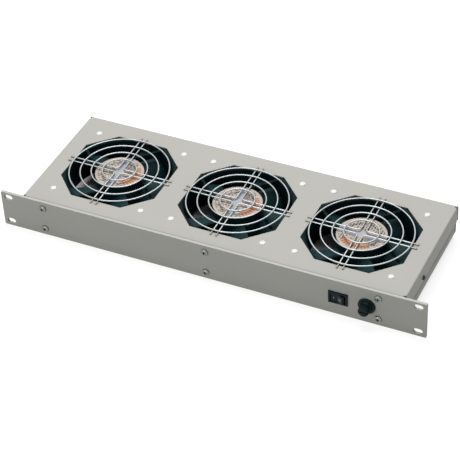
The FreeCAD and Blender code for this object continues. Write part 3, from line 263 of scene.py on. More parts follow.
def powder_coat(name, colour, welded=False, groove=None, crest=None):
    """Polyester powder coat: an even satin colour with a fine orange peel, and a painted highlight that
    makes its edges paler.

    The peel is 1.6 mm from crest to crest, coarser than real so that it shows, and paler
    clouds are 60 mm across. Where guard wires are welded on, the coat is browned for a few
    millimetres around their ends. A groove, given as a Y, gets a dark strip of painted shade
    on the plate against the panel's back, and painted shade round the corner holes. A crest,
    given as a height, gets a painted highlight along it.
    """
    material, tree, place = new_material(name)
    parts = add(tree, "ShaderNodeSeparateXYZ", {}, {0: place})
    peel = add(tree, "ShaderNodeTexNoise", {}, {"Vector": place, "Scale": 1 / PEEL, "Detail": 2.0})
    clouds = add(tree, "ShaderNodeTexNoise", {}, {"Vector": place, "Scale": 1 / CLOUD, "Detail": 3.0})
    soft = add(tree, "ShaderNodeBevel", {"samples": 4}, {"Radius": COAT_EDGE})
    pale = linear(colour, 1.25)
    coat = overlay(tree, linear(colour, 0.93), linear(colour), clouds)
    # painted highlight: rounded edges are painted paler
    coat = overlay(tree, coat, pale, edge_lean(tree, soft), EDGE_LEAN, (0.0, 0.6))
    if groove is not None:
        # painted shade: a dark strip on the plate against the panel's back
        shaded_strip = (groove, groove + PANEL_SHADE_RUN)
        coat = overlay(tree, coat, linear("#5A5852"), parts.outputs[1], shaded_strip, (1.0, 0.0))
        # painted shade: near black round each corner hole
        flat = add(tree, "ShaderNodeCombineXYZ", {}, {0: parts.outputs[0], 1: parts.outputs[1]})
        mirrored = add(tree, "ShaderNodeVectorMath", {"operation": "ABSOLUTE"}, {0: flat})
        gap = add(tree, "ShaderNodeVectorMath", {"operation": "DISTANCE"}, {0: mirrored, 1: corner_hole})
        coat = overlay(tree, coat, linear("#1C1C1A"), gap.outputs["Value"], HOLE_SHADE_SPAN, (0.95, 0.0))
    if crest is not None:
        # painted highlight: a paler band along the crest
        crest_highlight = (crest + CREST_SPAN[0], crest + CREST_SPAN[1])
        coat = overlay(tree, coat, pale, parts.outputs[2], crest_highlight, (0.0, 0.9))
    if welded:
        ragged = add(tree, "ShaderNodeMath", {"operation": "MULTIPLY_ADD"},
                     {0: peel, 1: BURN_RAGGED, 2: from_weld(tree, place)})
        coat = overlay(tree, coat, linear("#948E84"), ragged, BURN_SPAN, (0.5, 0.0))
    bump = add(tree, "ShaderNodeBump", {}, {"Height": peel, "Strength": 0.12, "Distance": 0.1 * MM,
                                            "Normal": soft})
    return finished(material, {"Base Color": coat, "Roughness": 0.5, "IOR": 1.5, "Normal": bump})


# the tray's and the panel's coats are a little darker than the cover's: painted shade for faces turned from
# the overhead lamp
wear(["top_cover"], powder_coat("powder_coat_warm_grey", "#C2C1BA", welded=True, groove=cover_low.y))
wear(["lower_tray"], powder_coat("powder_coat_tray_grey", "#B9B8B2"))
wear(["front_panel"], powder_coat("powder_coat_panel_grey", "#B9BAB3", crest=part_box("front_panel")[1].z))


# ---- Finger guards ----------------------------------------------------------------------
# Each guard is four rings of 1.6 mm steel wire, resistance welded over four wires bent to a
# right angle, and zinc plated. The wires' ends are spot welded to the plate from below.

RING_RADII = [18.5 * MM, 30.5 * MM, 42.5 * MM, 54.5 * MM]
BEND_RADIUS, RING_LIFT = 3.5 * MM, 1.4 * MM
WELD_SIZE, WELD_RAISE = (1.0 * MM, 1.0 * MM, 0.5 * MM), 0.1 * MM
WIRE_SIDES, RING_POINTS, BEND_POINTS, END_POINTS = 14, 96, 9, 5
MERGE_WITHIN, SHUT = 1e-7, 1e-9
SHARP_FROM = math.radians(40)
ZINC_GRAINS, HEAT_SPAN = 0.9 / MM, (3.0 * MM, 5.5 * MM)


def join_grids(grids):
    """Stacks point grids (rows, columns, 3) as one mesh, the columns closed into rings."""
    corners, faces, start = [], [], 0
    for grid in grids:
        rows, columns = grid.shape[:2]
        place = start + np.arange(rows * columns).reshape(rows, columns)
        turn = np.roll(place, -1, axis=1)
        quads = np.stack([place[:-1], turn[:-1], turn[1:], place[1:]], axis=-1)
        corners.append(grid.reshape(-1, 3))
        faces.append(quads.reshape(-1, 4))
        start += rows * columns
    return np.concatenate(corners), np.concatenate(faces)


def make_piece(name, grids, material, body, replaced=()):
    """One mesh piece at the origin from closed point grids, its doubled points merged."""
    corners, faces = join_grids(grids)
    mesh = bpy.data.meshes.new(name)
    mesh.from_pydata(corners.tolist(), [], faces.tolist())
    shell = bmesh.new()
    shell.from_mesh(mesh)
    bmesh.ops.remove_doubles(shell, verts=shell.verts, dist=MERGE_WITHIN)
    bmesh.ops.recalc_face_normals(shell, faces=shell.faces)
    for face in shell.faces:
        face.smooth = True
    shell.to_mesh(mesh)
    shell.free()
    mesh.set_sharp_from_angle(angle=SHARP_FROM)
    mesh.materials.append(material)
    piece = bpy.data.objects.new(name, mesh)
    bpy.context.scene.collection.objects.link(piece)
    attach(piece, body)
    if replaced:
        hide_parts(*replaced)


def wire(path, radii, closed=False):
    """A round wire in a level plane: a circle of the radius at each point of the path.

    Each point of the skin is path + r (cos a * side + sin a * up), where side is square to
    the path's direction in the plane, and a goes once round.
    """
    ahead = np.roll(path, -1, axis=0) if closed else np.concatenate([path[1:], path[-1:]])
    behind = np.roll(path, 1, axis=0) if closed else np.concatenate([path[:1], path[:-1]])
    along = ahead - behind
    along /= np.linalg.norm(along, axis=1, keepdims=True)
    side = np.stack([along[:, 1], -along[:, 0], np.zeros(len(path))], axis=1)
    angle = np.linspace(0, 2 * np.pi, WIRE_SIDES, endpoint=False)[None, :, None]
    circle = side[:, None, :] * np.cos(angle) + np.array([0, 0, 1]) * np.sin(angle)
    skin = path[:, None, :] + np.asarray(radii)[:, None, None] * circle
    return np.concatenate([skin, skin[:1]]) if closed else skin


def round_ended(path, radius):
    """Adds half-ball ends: beyond each end the path runs r sin t and the radius falls as r cos t."""
    t = np.linspace(0, np.pi / 2, END_POINTS + 1)[1:]
    first, last = path[0] - path[1], path[-1] - path[-2]
    first, last = first / np.linalg.norm(first), last / np.linalg.norm(last)
    head = path[0] + first * (radius * np.sin(t[::-1]))[:, None]
    tail = path[-1] + last * (radius * np.sin(t))[:, None]
    small = np.maximum(radius * np.cos(t), SHUT)
    radii = np.concatenate([small[::-1], np.full(len(path), radius), small])
    return np.concatenate([head, path, tail]), radii


def blob(centre, size, rows=6, columns=10):
    """A flattened ball: centre + (a cos u cos v, b cos u sin v, c sin u)."""
    u = np.linspace(-np.pi / 2, np.pi / 2, rows)[:, None]
    v = np.linspace(0, 2 * np.pi, columns, endpoint=False)[None, :]
    ball = np.stack([np.cos(u) * np.cos(v), np.cos(u) * np.sin(v), np.sin(u) * np.ones_like(v)], axis=-1)
    return ball * np.asarray(size) + np.asarray(centre)


def bent_wire(signs, reach, level):
    """A wire in along X, round a quarter bend near the middle and out along Y.

    signs are those of its quadrant, and reach is how far each leg runs. The bend's points are
    corner - bend (sin t, cos t), with t from 0 to a quarter turn.
    """
    turn = np.linspace(0, np.pi / 2, BEND_POINTS)
    corner = WIRE_PAIR_HALF + BEND_RADIUS
    curve = corner - BEND_RADIUS * np.stack([np.sin(turn), np.cos(turn)], axis=1)
    points = np.concatenate([[[reach[0], WIRE_PAIR_HALF]], curve, [[WIRE_PAIR_HALF, reach[1]]]])
    return np.concatenate([points * signs, np.full((len(points), 1), level)], axis=1)


def zinc_wire():
    """Zinc on drawn steel: a soft silver metal, dulled to a warm grey where its ends were welded."""
    material, tree, place = new_material("zinc_plated_wire")
    grain = add(tree, "ShaderNodeTexNoise", {}, {"Vector": place, "Scale": ZINC_GRAINS, "Detail": 3.0})
    tint = overlay(tree, linear("#ACB1B2"), linear("#918D84"), from_weld(tree, place), HEAT_SPAN, (0.9, 0.0))
    rough = add(tree, "ShaderNodeMapRange", {}, {"Value": grain, "To Min": 0.34, "To Max": 0.5})
    bump = add(tree, "ShaderNodeBump", {}, {"Height": grain, "Strength": 0.1, "Distance": 0.05 * MM})
    return finished(material, {"Base Color": tint, "Metallic": 1.0, "Roughness": rough, "Normal": bump})


zinc = zinc_wire()
wire_level = plate_top + WIRE / 2
weld_level = plate_top + RING_LIFT + WELD_RAISE
leg_reach = (guard_high.x - fan_centres[1].x - WIRE / 2, guard_high.y - fan_back - WIRE / 2)
angle = np.linspace(0, 2 * np.pi, RING_POINTS, endpoint=False)
round_path = np.stack([np.cos(angle), np.sin(angle), np.zeros(RING_POINTS)], axis=1)
for name, middle in zip(fan_names, fan_centres):
    skins = []
    centre = np.array([middle.x, middle.y, 0])
    for signs in ((1, 1), (-1, 1), (-1, -1), (1, -1)):
        skins.append(wire(*round_ended(bent_wire(signs, leg_reach, wire_level) + centre, WIRE / 2)))
        for radius in RING_RADII:
            run = math.sqrt(radius**2 - WIRE_PAIR_HALF**2)
            for x, y in ((run, WIRE_PAIR_HALF), (WIRE_PAIR_HALF, run)):
                skins.append(blob(centre + [x * signs[0], y * signs[1], weld_level], WELD_SIZE))
    for radius in RING_RADII:
        path = round_path * radius + centre + [0, 0, wire_level + RING_LIFT]
        skins.append(wire(path, np.full(RING_POINTS, WIRE / 2), closed=True))
    make_piece(f"{name}_guard_wires", skins, zinc, "chassis", [f"{name}_finger_guard"])


# ---- Fan frames -------------------------------------------------------------------------
# The frames are die-cast aluminium under a thin black coat: a square with open corners, a
# flared round bore, and four slanting struts that carry the hub plate.

PEBBLE, CAST_EDGE = 0.8 * MM, 0.4 * MM


def cast_black():
    """Black electro-coat over die casting: a dull satin, with the cast skin's 0.8 mm pebble and a painted
    highlight that greys its edges.
    """
    material, tree, place = new_material("black_coated_casting")
    pebble = add(tree, "ShaderNodeTexNoise", {}, {"Vector": place, "Scale": 1 / PEBBLE, "Detail": 3.0})
    soft = add(tree, "ShaderNodeBevel", {"samples": 4}, {"Radius": CAST_EDGE})
    tint = overlay(tree, linear("#081C1E"), linear("#102628"), pebble)
    # painted highlight: edges are tinted towards a lighter grey
    tint = overlay(tree, tint, linear("#3C4547"), edge_lean(tree, soft), EDGE_LEAN, (0.0, 0.25))
    bump = add(tree, "ShaderNodeBump", {}, {"Height": pebble, "Strength": 0.2, "Distance": 0.08 * MM,
                                            "Normal": soft})
    return finished(material, {"Base Color": tint, "Roughness": 0.6, "IOR": 1.45,
                               "Specular IOR Level": 0.08, "Normal": bump})


wear([f"{name}_fan_frame" for name in fan_names], cast_black())


# ---- Impellers --------------------------------------------------------------------------
# Each impeller is one moulding in black glass-filled nylon: a cup pressed over the rotor and
# five twisted blades, thick at the root, with rounded edges and tips trimmed to a circle.

BLADES, BLADE_TOP, BLADE_HEIGHT, BLADE_THICK = 5, 11.5 * MM, 22 * MM, 1.8 * MM
BLADE_LEANS, BLADE_SAGS = (math.radians(48), math.radians(28)), (5.1 * MM, 8.3 * MM)
ROTOR_RADIUS, HUB_RADIUS, LOFT_END = 25.1 * MM, 27.7 * MM, 59.45 * MM
TIP_RADIUS, TIP_NARROWS = 56.25 * MM, 0.7
FILLET_GAIN, FILLET_FADE = 1.6, 1.3 * MM
FLOW_MARK, ROUGH_SWING, MOULD_EDGE = 2 * MM, 0.06, 0.2 * MM


def blade(turn, top):
    """One blade: across a section, s runs along the chord; along the blade, r runs outwards.

    Flat points are (run, rise). The mean line is s * chord plus a bow of 4 sag s (1 - s)
    square to it, and chord, lean and sag go from root to tip in proportion to r. Each side
    stands off it by half the thickness times (1 - (2s - 1)^6)^0.5, which rounds the edges,
    plus a fillet near the hub that fades as e to the power -(r - hub) / 1.3 mm. The run is
    then bent on to the cylinder of radius r, as angle = run / r.
    """
    s = (1 - np.cos(np.linspace(0, np.pi, 23))) / 2
    root = HUB_RADIUS + np.array([-0.3, 0.2, 0.7, 1.4, 2.4, 4.0, 6.0]) * MM
    r = np.concatenate([[ROTOR_RADIUS + 0.4 * MM], root,
                        np.linspace(HUB_RADIUS + 9 * MM, TIP_RADIUS - 0.5 * MM, 8)])
    share = ((r - ROTOR_RADIUS) / (LOFT_END - ROTOR_RADIUS))[:, None, None]
    ends = []
    for lean, sag in zip(BLADE_LEANS, BLADE_SAGS):
        chord = np.array([BLADE_HEIGHT / math.tan(lean), BLADE_HEIGHT])
        bow = np.array([-math.sin(lean), math.cos(lean)])
        ends.append((s - 0.5)[:, None] * chord + (4 * sag * s * (1 - s))[:, None] * bow)
    line = ends[0] * (1 - share) + ends[1] * share
    slope = np.gradient(line, axis=1)
    square = np.stack([-slope[..., 1], slope[..., 0]], axis=-1)
    square /= np.linalg.norm(slope, axis=-1, keepdims=True)
    half = BLADE_THICK / 2 * np.sqrt(np.clip(1 - (2 * s - 1) ** 6, 0, 1))[None, :, None]
    fillet = 1 + FILLET_GAIN * np.exp(-np.clip(r - HUB_RADIUS, 0, None) / FILLET_FADE)[:, None, None]
    off = square * half * fillet
    skin = np.concatenate([line + off, (line - off)[:, -2:0:-1]], axis=1)
    flat = np.concatenate([line, line[:, -2:0:-1]], axis=1)
    # rows: the mean line shut at the root, the skin, a narrower rim and the mean line at the tip
    rim = flat[-1:] + (skin[-1:] - flat[-1:]) * TIP_NARROWS
    rows = np.concatenate([flat[:1], skin, rim, flat[-1:]])
    radii = np.concatenate([r[:1], r, [TIP_RADIUS, TIP_RADIUS]])[:, None]
    angle = rows[..., 0] / radii + turn
    height = rows[..., 1] + top - BLADE_TOP - BLADE_HEIGHT / 2
    return np.stack([radii * np.cos(angle), radii * np.sin(angle), height], axis=-1)


def lathe(profile, columns=32):
    """Turns (radius, height) points about the upright axis: (r cos a, r sin a, h)."""
    angle = np.linspace(0, 2 * np.pi, columns, endpoint=False)[None, :]
    radius, height = profile[:, :1], profile[:, 1:]
    return np.stack([radius * np.cos(angle), radius * np.sin(angle), height * np.ones_like(angle)], axis=-1)


def quarter(centre, radius, start, points=6):
    """A quarter circle in a side view: centre + radius (cos t, sin t), t from the start on."""
    t = math.radians(start) + np.linspace(0, np.pi / 2, points)
    return np.asarray(centre) + radius * np.stack([np.cos(t), np.sin(t)], axis=1)


def moulded_nylon(name, colour, roughness, gloss=0.5):
    """Moulded nylon or similar plastic: an even colour, low sheen and 2 mm flow marks."""
    material, tree, place = new_material(name)
    flow = add(tree, "ShaderNodeTexNoise", {}, {"Vector": place, "Scale": 1 / FLOW_MARK, "Detail": 4.0})
    tint = overlay(tree, linear(colour), linear(colour, 1.3), flow)
    rough = add(tree, "ShaderNodeMapRange", {}, {"Value": flow, "To Min": roughness - ROUGH_SWING,
                                                 "To Max": roughness + ROUGH_SWING})
    soft = add(tree, "ShaderNodeBevel", {"samples": 4}, {"Radius": MOULD_EDGE})
    bump = add(tree, "ShaderNodeBump", {}, {"Height": flow, "Strength": 0.08, "Distance": 0.1 * MM,
                                            "Normal": soft})
    return finished(material, {"Base Color": tint, "Roughness": rough, "IOR": 1.52,
                               "Specular IOR Level": gloss, "Normal": bump})


# glass fibres at the skin take the shine off the black
blade_nylon = moulded_nylon("black_glass_filled_nylon", "#1E3A3E", 0.5, 0.08)
FAN_ABOVE, CUP_BELOW, RIM_ROUND, HUB_ROUND, DISH = 10 * MM, 31 * MM, 0.6 * MM, 3 * MM, 0.5 * MM
DISH_TOP, DISH_FOOT, EYE_TOP, EYE_FOOT = 2 * MM, 2.5 * MM, 3 * MM, 2.5 * MM
impeller_low, impeller_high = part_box("middle_impeller")
hub_low, hub_rim = impeller_low.z, impeller_high.z
fan_top = hub_rim + FAN_ABOVE
cup_floor, face_end = fan_top - CUP_BELOW, HUB_RADIUS - HUB_ROUND
hub_view = np.concatenate([
    [[0, cup_floor], [ROTOR_RADIUS, cup_floor], [ROTOR_RADIUS, hub_rim]],
    quarter((HUB_RADIUS - RIM_ROUND, hub_rim - RIM_ROUND), RIM_ROUND, 0)[::-1],
    quarter((face_end, hub_low + HUB_ROUND), HUB_ROUND, -90)[::-1],
    [[face_end - DISH_TOP, hub_low], [face_end - DISH_FOOT, hub_low + DISH],
     [EYE_TOP, hub_low + DISH], [EYE_FOOT, hub_low + DISH / 2], [0, hub_low + DISH / 2]]])
for name, middle in zip(fan_names, fan_centres):
    centre = np.array([middle.x, middle.y, 0])
    skins = [lathe(hub_view, 72) + centre]
    skins += [blade(2 * math.pi * index / BLADES, fan_top) + centre for index in range(BLADES)]
    make_piece(f"{name}_bladed_hub", skins, blade_nylon, f"{name}_fan_rotor",
               [f"{name}_impeller"])


# ---- Fan motors -------------------------------------------------------------------------
# Behind the hub plate sit a stack of silicon steel laminations with four enamelled copper
# coils, two ball bearings, and the drawn steel cup that turns round them.


def plain_metal(name, colour, roughness, grain_size=2 * MM):
    """A bare or plated metal whose roughness wanders by 30 percent over its grain size."""
    material, tree, place = new_material(name)
    grain = add(tree, "ShaderNodeTexNoise", {}, {"Vector": place, "Scale": 1 / grain_size, "Detail": 4.0})
    rough = add(tree, "ShaderNodeMapRange", {}, {"Value": grain, "To Min": roughness * 0.7,
                                                 "To Max": roughness * 1.3})
    return finished(material, {"Base Color": linear(colour), "Metallic": 1.0, "Roughness": rough})


def layered(name, colour, gap_colour, thickness, roughness):
    """Thin metal layers seen edge on: a dark line at every thickness up the height."""
    material, tree, place = new_material(name)
    parts = add(tree, "ShaderNodeSeparateXYZ", {}, {0: place})
    wave = add(tree, "ShaderNodeMath", {"operation": "PINGPONG"}, {0: parts.outputs[2], 1: thickness / 2})
    line = add(tree, "ShaderNodeMapRange", {}, {"Value": wave, "From Max": thickness / 6})
    bump = add(tree, "ShaderNodeBump", {}, {"Height": line, "Strength": 0.5, "Distance": 0.1 * MM})
    return finished(material, {"Base Color": overlay(tree, linear(gap_colour), linear(colour), line),
                               "Metallic": 0.9, "Roughness": roughness, "Normal": bump})


# 0.5 mm sheets show as fine grey lines, and the 0.6 mm wire as reddish brown turns
laminations = layered("silicon_steel_laminations", "#8C8C8A", "#33312F", 0.5 * MM, 0.4)
copper = layered("enamelled_copper_wire", "#B5622E", "#5A2B12", 0.6 * MM, 0.3)
# grinding leaves the bearings bright, and drawing and zinc leave the cup a softer grey
ground_steel = plain_metal("ground_bearing_steel", "#C9CBCC", 0.2, 1 * MM)
drawn_steel = plain_metal("zinc_plated_cup_steel", "#A9ABAA", 0.34, 1.5 * MM)
for part, material in (("stator", laminations), ("windings", copper), ("bearings", ground_steel),
                       ("rotor", drawn_steel)):
    wear([f"{name}_{part}" for name in fan_names], material)


# ---- Fan labels -------------------------------------------------------------------------
# A round foil label covers each hub plate: pale ink over aluminium, fine grey rules, a
# terracotta arc, and a bare foil band across the middle, with a painted highlight on it that
# is brightest at the label's middle. It bears no words.

# the print's sizes are in millimetres, and its angles in radians
ROW_PITCH, ROW_SHARE, TICK_PITCH, TICK_SHARE = 2.9, 0.55, 1.1, 0.78
LEFT_PRINT, RIGHT_PRINT, PRINT_RADII = (-23.5, -4.5), (5.5, 13.5), (0.0, 24.0)
RULE_STRETCH, RULE_LIMIT, ARC_STRETCH, ARC_LIMIT = (0.32, 7.3), 0.46, (9.0, 3.1), 0.34
STROKE_PITCH, STROKE_SHARE, RING_PITCH = 1 / 6.5, 0.74, 2.2
ARC_RADII, ARC_ANGLES, ARC_FADES = (15.5, 23.5), (-0.95, 0.75), (-0.05, 0.25)
BAND, BAND_SHEEN_FADES, STAIN = (-2.8, 2.8), (4.0, 24.0), 6.25
PATCH_ACROSS, PATCH_ALONG = (4.6, 13.5), (7.5, 19.0)
LABEL_TURNS = {"left": 0.0, "middle": 0.0, "right": math.radians(-90)}


def all_of(tree, *masks):
    """1 where each mask is 1: the masks multiplied."""
    whole = masks[0]
    for mask in masks[1:]:
        whole = add(tree, "ShaderNodeMath", {"operation": "MULTIPLY"}, {0: whole, 1: mask})
    return whole


def between(tree, reading, limits):
    """1 where a reading lies between two limits."""
    above = add(tree, "ShaderNodeMath", {"operation": "GREATER_THAN"}, {0: reading, 1: limits[0]})
    below = add(tree, "ShaderNodeMath", {"operation": "LESS_THAN"}, {0: reading, 1: limits[1]})
    return all_of(tree, above, below)


def stripes(tree, reading, pitch, share):
    """1 over the first share of every pitch."""
    turns = add(tree, "ShaderNodeMath", {"operation": "DIVIDE"}, {0: reading, 1: pitch})
    place = add(tree, "ShaderNodeMath", {"operation": "FRACT"}, {0: turns})
    return add(tree, "ShaderNodeMath", {"operation": "LESS_THAN"}, {0: place, 1: share})


def broken(tree, along, across, pitch, stretch, limit):
    """1 where noise passes a limit.

    The noise runs over one reading and over the number of whole pitches in another, each
    times its stretch.
    """
    step = add(tree, "ShaderNodeMath", {"operation": "SNAP"}, {0: across, 1: pitch})
    spot = add(tree, "ShaderNodeCombineXYZ", {}, {0: along, 1: step})
    spot = add(tree, "ShaderNodeVectorMath", {"operation": "MULTIPLY"},
               {0: spot, 1: (stretch[0], stretch[1] / pitch, 0)})
    cloud = add(tree, "ShaderNodeTexNoise", {}, {"Vector": spot, "Scale": 1.0, "Detail": 1.0})
    return add(tree, "ShaderNodeMath", {"operation": "GREATER_THAN"}, {0: cloud, 1: limit})


def foil_label(name, middle, turn):
    """Rows of broken rules left and right of a bare band, and a broken arc near the rim.

    The rules are 1.6 mm high every 2.9 mm. A row is inked where noise over the row's own
    number passes a limit, which breaks it into dashes of a few millimetres, and a gap every
    1.1 mm breaks those into ticks. The arc is a row of upright strokes, 6.5 to the radian,
    and noise over the angle and the radius breaks them in turn.
    """
    material, tree, place = new_material(name)
    place = add(tree, "ShaderNodeMapping", {"vector_type": "TEXTURE"},
                {"Vector": place, "Location": (middle.x, middle.y, 0), "Rotation": (0, 0, turn),
                 "Scale": (MM, MM, MM)})
    parts = add(tree, "ShaderNodeSeparateXYZ", {}, {0: place})
    across, along = parts.outputs[0], parts.outputs[1]
    flat = add(tree, "ShaderNodeCombineXYZ", {}, {0: across, 1: along})
    radius = add(tree, "ShaderNodeVectorMath", {"operation": "LENGTH"}, {0: flat}).outputs["Value"]
    angle = add(tree, "ShaderNodeMath", {"operation": "ARCTAN2"}, {0: along, 1: across})
    far = add(tree, "ShaderNodeMath", {"operation": "ABSOLUTE"}, {0: along})

    field = add(tree, "ShaderNodeMath", {"operation": "MAXIMUM"},
                {0: between(tree, across, LEFT_PRINT), 1: between(tree, across, RIGHT_PRINT)})
    rules = all_of(tree, field, between(tree, radius, PRINT_RADII),
                   stripes(tree, along, ROW_PITCH, ROW_SHARE), stripes(tree, across, TICK_PITCH, TICK_SHARE),
                   broken(tree, across, along, ROW_PITCH, RULE_STRETCH, RULE_LIMIT))
    fade = add(tree, "ShaderNodeMapRange", {}, {"Value": angle, "From Min": ARC_FADES[0],
                                                "From Max": ARC_FADES[1], "To Min": 0.95, "To Max": 0.75})
    arc = all_of(tree, between(tree, radius, ARC_RADII), between(tree, angle, ARC_ANGLES),
                 stripes(tree, angle, STROKE_PITCH, STROKE_SHARE),
                 broken(tree, angle, radius, RING_PITCH, ARC_STRETCH, ARC_LIMIT), fade)
    patch = all_of(tree, between(tree, across, PATCH_ACROSS), between(tree, along, PATCH_ALONG))
    band = between(tree, across, BAND)
    stain = add(tree, "ShaderNodeTexNoise", {}, {"Vector": place, "Scale": 1 / STAIN, "Detail": 3.0})

    # the bare foil band: metal, with a painted highlight that is brightest near the middle and fades towards
    # the rim
    bare = overlay(tree, linear("#8D919B"), linear("#AEB5C2"), far, BAND_SHEEN_FADES, (0.9, 0.15))
    ink = overlay(tree, linear("#B3A79B"), linear("#DED1C5"), stain)
    ink = overlay(tree, ink, linear("#7F7F84"), patch, cover=(0.0, 0.55))
    ink = overlay(tree, ink, linear("#1F1B1A"), rules, cover=(0.0, 0.9))
    ink = overlay(tree, ink, linear("#C26E38"), arc)
    ink = overlay(tree, ink, bare, band)
    metal = add(tree, "ShaderNodeMapRange", {}, {"Value": band, "To Min": 0.05, "To Max": 0.25})
    return finished(material, {"Base Color": ink, "Metallic": metal, "Roughness": 0.5,
                               "Specular IOR Level": 0.3})


for name, middle in zip(fan_names, fan_centres):
    wear([f"{name}_fan_label"], foil_label(f"printed_foil_label_{name}", middle, LABEL_TURNS[name]))


# ---- Rivets and screws ------------------------------------------------------------------
# White nylon push rivets hold the fans under the cover. Six nickel-plated pan-head screws
# hold the panel, and four small black ones join the cover to the tray.


def dome(radius, rise, points=8):
    """The side view of a low dome with a flat top: (r cos^0.6 t, rise sin^0.6 t)."""
    t = np.linspace(0, np.pi / 2, points)
    return np.stack([radius * np.abs(np.cos(t)) ** 0.6, rise * np.sin(t) ** 0.6], axis=1)


def aimed(grid, place, axis):
    """Turns a grid from upright so that its axis points along axis, then moves it to place."""
    turn = np.array(Vector((0, 0, 1)).rotation_difference(Vector(axis)).to_matrix())
    return grid @ turn.T + np.asarray(place)


RIVET_HEAD, RIVET_RISE, RIVET_SHANK, RIVET_TAPER = 3.2 * MM, 1.3 * MM, 2.1 * MM, 2.5 * MM
rivet_low, rivet_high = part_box("fan_rivets")
rivet_depth = rivet_high.z - RIVET_RISE - rivet_low.z
hole_half = fan_centres[0].x - rivet_low.x - RIVET_HEAD
rivet_view = np.concatenate([
    [[0, -rivet_depth], [RIVET_SHANK, RIVET_TAPER - rivet_depth], [RIVET_SHANK, 0], [RIVET_HEAD, 0]],
    dome(RIVET_HEAD, RIVET_RISE)[1:]])
rivets = [lathe(rivet_view) + [middle.x + side * hole_half, fan_back + end * hole_half, plate_top]
          for middle in fan_centres for side in (-1, 1) for end in (-1, 1)]
# natural nylon: a clean white with a soft shine
white_nylon = moulded_nylon("white_nylon", "#F1F1EE", 0.4)
make_piece("push_rivets", rivets, white_nylon, "chassis", ["fan_rivets"])


def cross_screw(head, rise, shank, length, columns=96):
    """A pan head with a cross recess, as one grid from the top's middle to the shank's end.

    The top is a flattened dome, z = rise (1 - 0.62 (r / head)^4.5), and inside the cross it
    drops by 0.7 rise * min(1, distance from the cross's edge / wall run). In shares of the
    head's radius, an arm is 0.56 long and 0.13 to each side, and the wall runs over 0.07.
    """
    angle = np.linspace(0, 2 * np.pi, columns, endpoint=False)[None, :]
    radius = head * np.concatenate([np.linspace(0, 0.62, 30), np.linspace(0.66, 1.0, 9)])[:, None]
    top = rise * (1 - 0.62 * (radius / head) ** 4.5)
    x, y = np.abs(radius * np.cos(angle)), np.abs(radius * np.sin(angle))
    arm, half, wall = head * 0.56, head * 0.13, head * 0.07
    inside = np.maximum(np.minimum(arm - x, half - y), np.minimum(arm - y, half - x))
    drop = rise * 0.7 * np.clip(inside / wall, 0, 1)
    face = np.stack([radius * np.cos(angle), radius * np.sin(angle), top - drop], axis=-1)
    low = lathe(np.array([[head, 0.12 * rise], [head * 0.97, 0], [shank, 0], [shank, shank * 0.3 - length],
                          [shank * 0.7, -length], [0, -length]]), columns)
    return np.concatenate([face, low])


PANEL_HEAD, PANEL_RISE, PANEL_SHANK = 4 * MM, 2.6 * MM, 2 * MM
panel_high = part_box("panel_screws")[1]
screw_across, screw_up = panel_high.x - PANEL_HEAD, panel_high.z - PANEL_HEAD
panel_screw = cross_screw(PANEL_HEAD, PANEL_RISE, PANEL_SHANK, panel_high.y)
screws = [aimed(panel_screw, (column * screw_across, 0, row * screw_up), (0, -1, 0))
          for column in (-1, 0, 1) for row in (-1, 1)]
# smooth nickel plate mirrors the lamps on a grey metal
nickel = plain_metal("nickel_plate", "#7F8580", 0.08)
make_piece("pan_head_screws", screws, nickel, "chassis", ["panel_screws"])

COVER_HEAD, COVER_RISE, COVER_SHANK, COVER_LENGTH = 2.8 * MM, 1.9 * MM, 1.5 * MM, 6 * MM
SIDE_SCREW_BACK, SIDE_SCREW_DROP = 55 * MM, 13.8 * MM
REAR_SCREW_ACROSS, REAR_SCREW_DROP = 150 * MM, 5 * MM
side_up, rear_up = plate_top - SIDE_SCREW_DROP, plate_top - REAR_SCREW_DROP
cover_screw = cross_screw(COVER_HEAD, COVER_RISE, COVER_SHANK, COVER_LENGTH)
screws = [aimed(cover_screw, (side * cover_high.x, SIDE_SCREW_BACK, side_up), (side, 0, 0))
          for side in (-1, 1)]
screws += [aimed(cover_screw, (side * REAR_SCREW_ACROSS, cover_high.y, rear_up), (0, 1, 0))
           for side in (-1, 1)]
# black oxide: a thin dark skin on steel, with a dull metal shine
black_oxide = plain_metal("black_oxide_steel", "#3A3A3A", 0.4)
make_piece("cover_joining_screws", screws, black_oxide, "chassis", ["cover_screws"])
# clear zinc: a pale silver, a little rough
wear(["panel_nuts", "earth_nut", "earth_stud"], plain_metal("zinc_plated_steel", "#BFC0BE", 0.3))


# ---- Switch and fuse holder -------------------------------------------------------------
# A snap-in rocker switch in black polycarbonate, and a black moulded fuse holder with a
# screwdriver slot in its cap. The switch's two marks are pad printed in white.

# polished moulds give both plastics a deep bluish black, the rocker's a little smoother
switch_black = moulded_nylon("black_polycarbonate", "#061A1F", 0.34, 0.12)
holder_black = moulded_nylon("black_phenolic_moulding", "#07191C", 0.42, 0.12)
# tin over brass: a pale warm silver
tinned_brass = plain_metal("tinned_brass", "#C9C4B4", 0.3, 1.5 * MM)
wear(["switch_housing", "fuse_holder_body", "fuse_nut", "fuse_carrier", "fuse_cap"], holder_black)
wear(["switch_rocker"], switch_black)
wear(["switch_terminals", "fuse_terminals", "fuse_contact"], tinned_brass)


def clear_glass():
    """The fuse's glass tube between its nickel caps, a little milky from its filling."""
    material, tree, place = new_material("fuse_tube_glass")
    streak = add(tree, "ShaderNodeTexNoise", {}, {"Vector": place, "Scale": 1 / (2 * MM)})
    tint = overlay(tree, linear("#DADFDD"), linear("#F2F4F3"), streak)
    return finished(material, {"Base Color": tint, "Roughness": 0.05, "IOR": 1.5,
                               "Transmission Weight": 0.8})


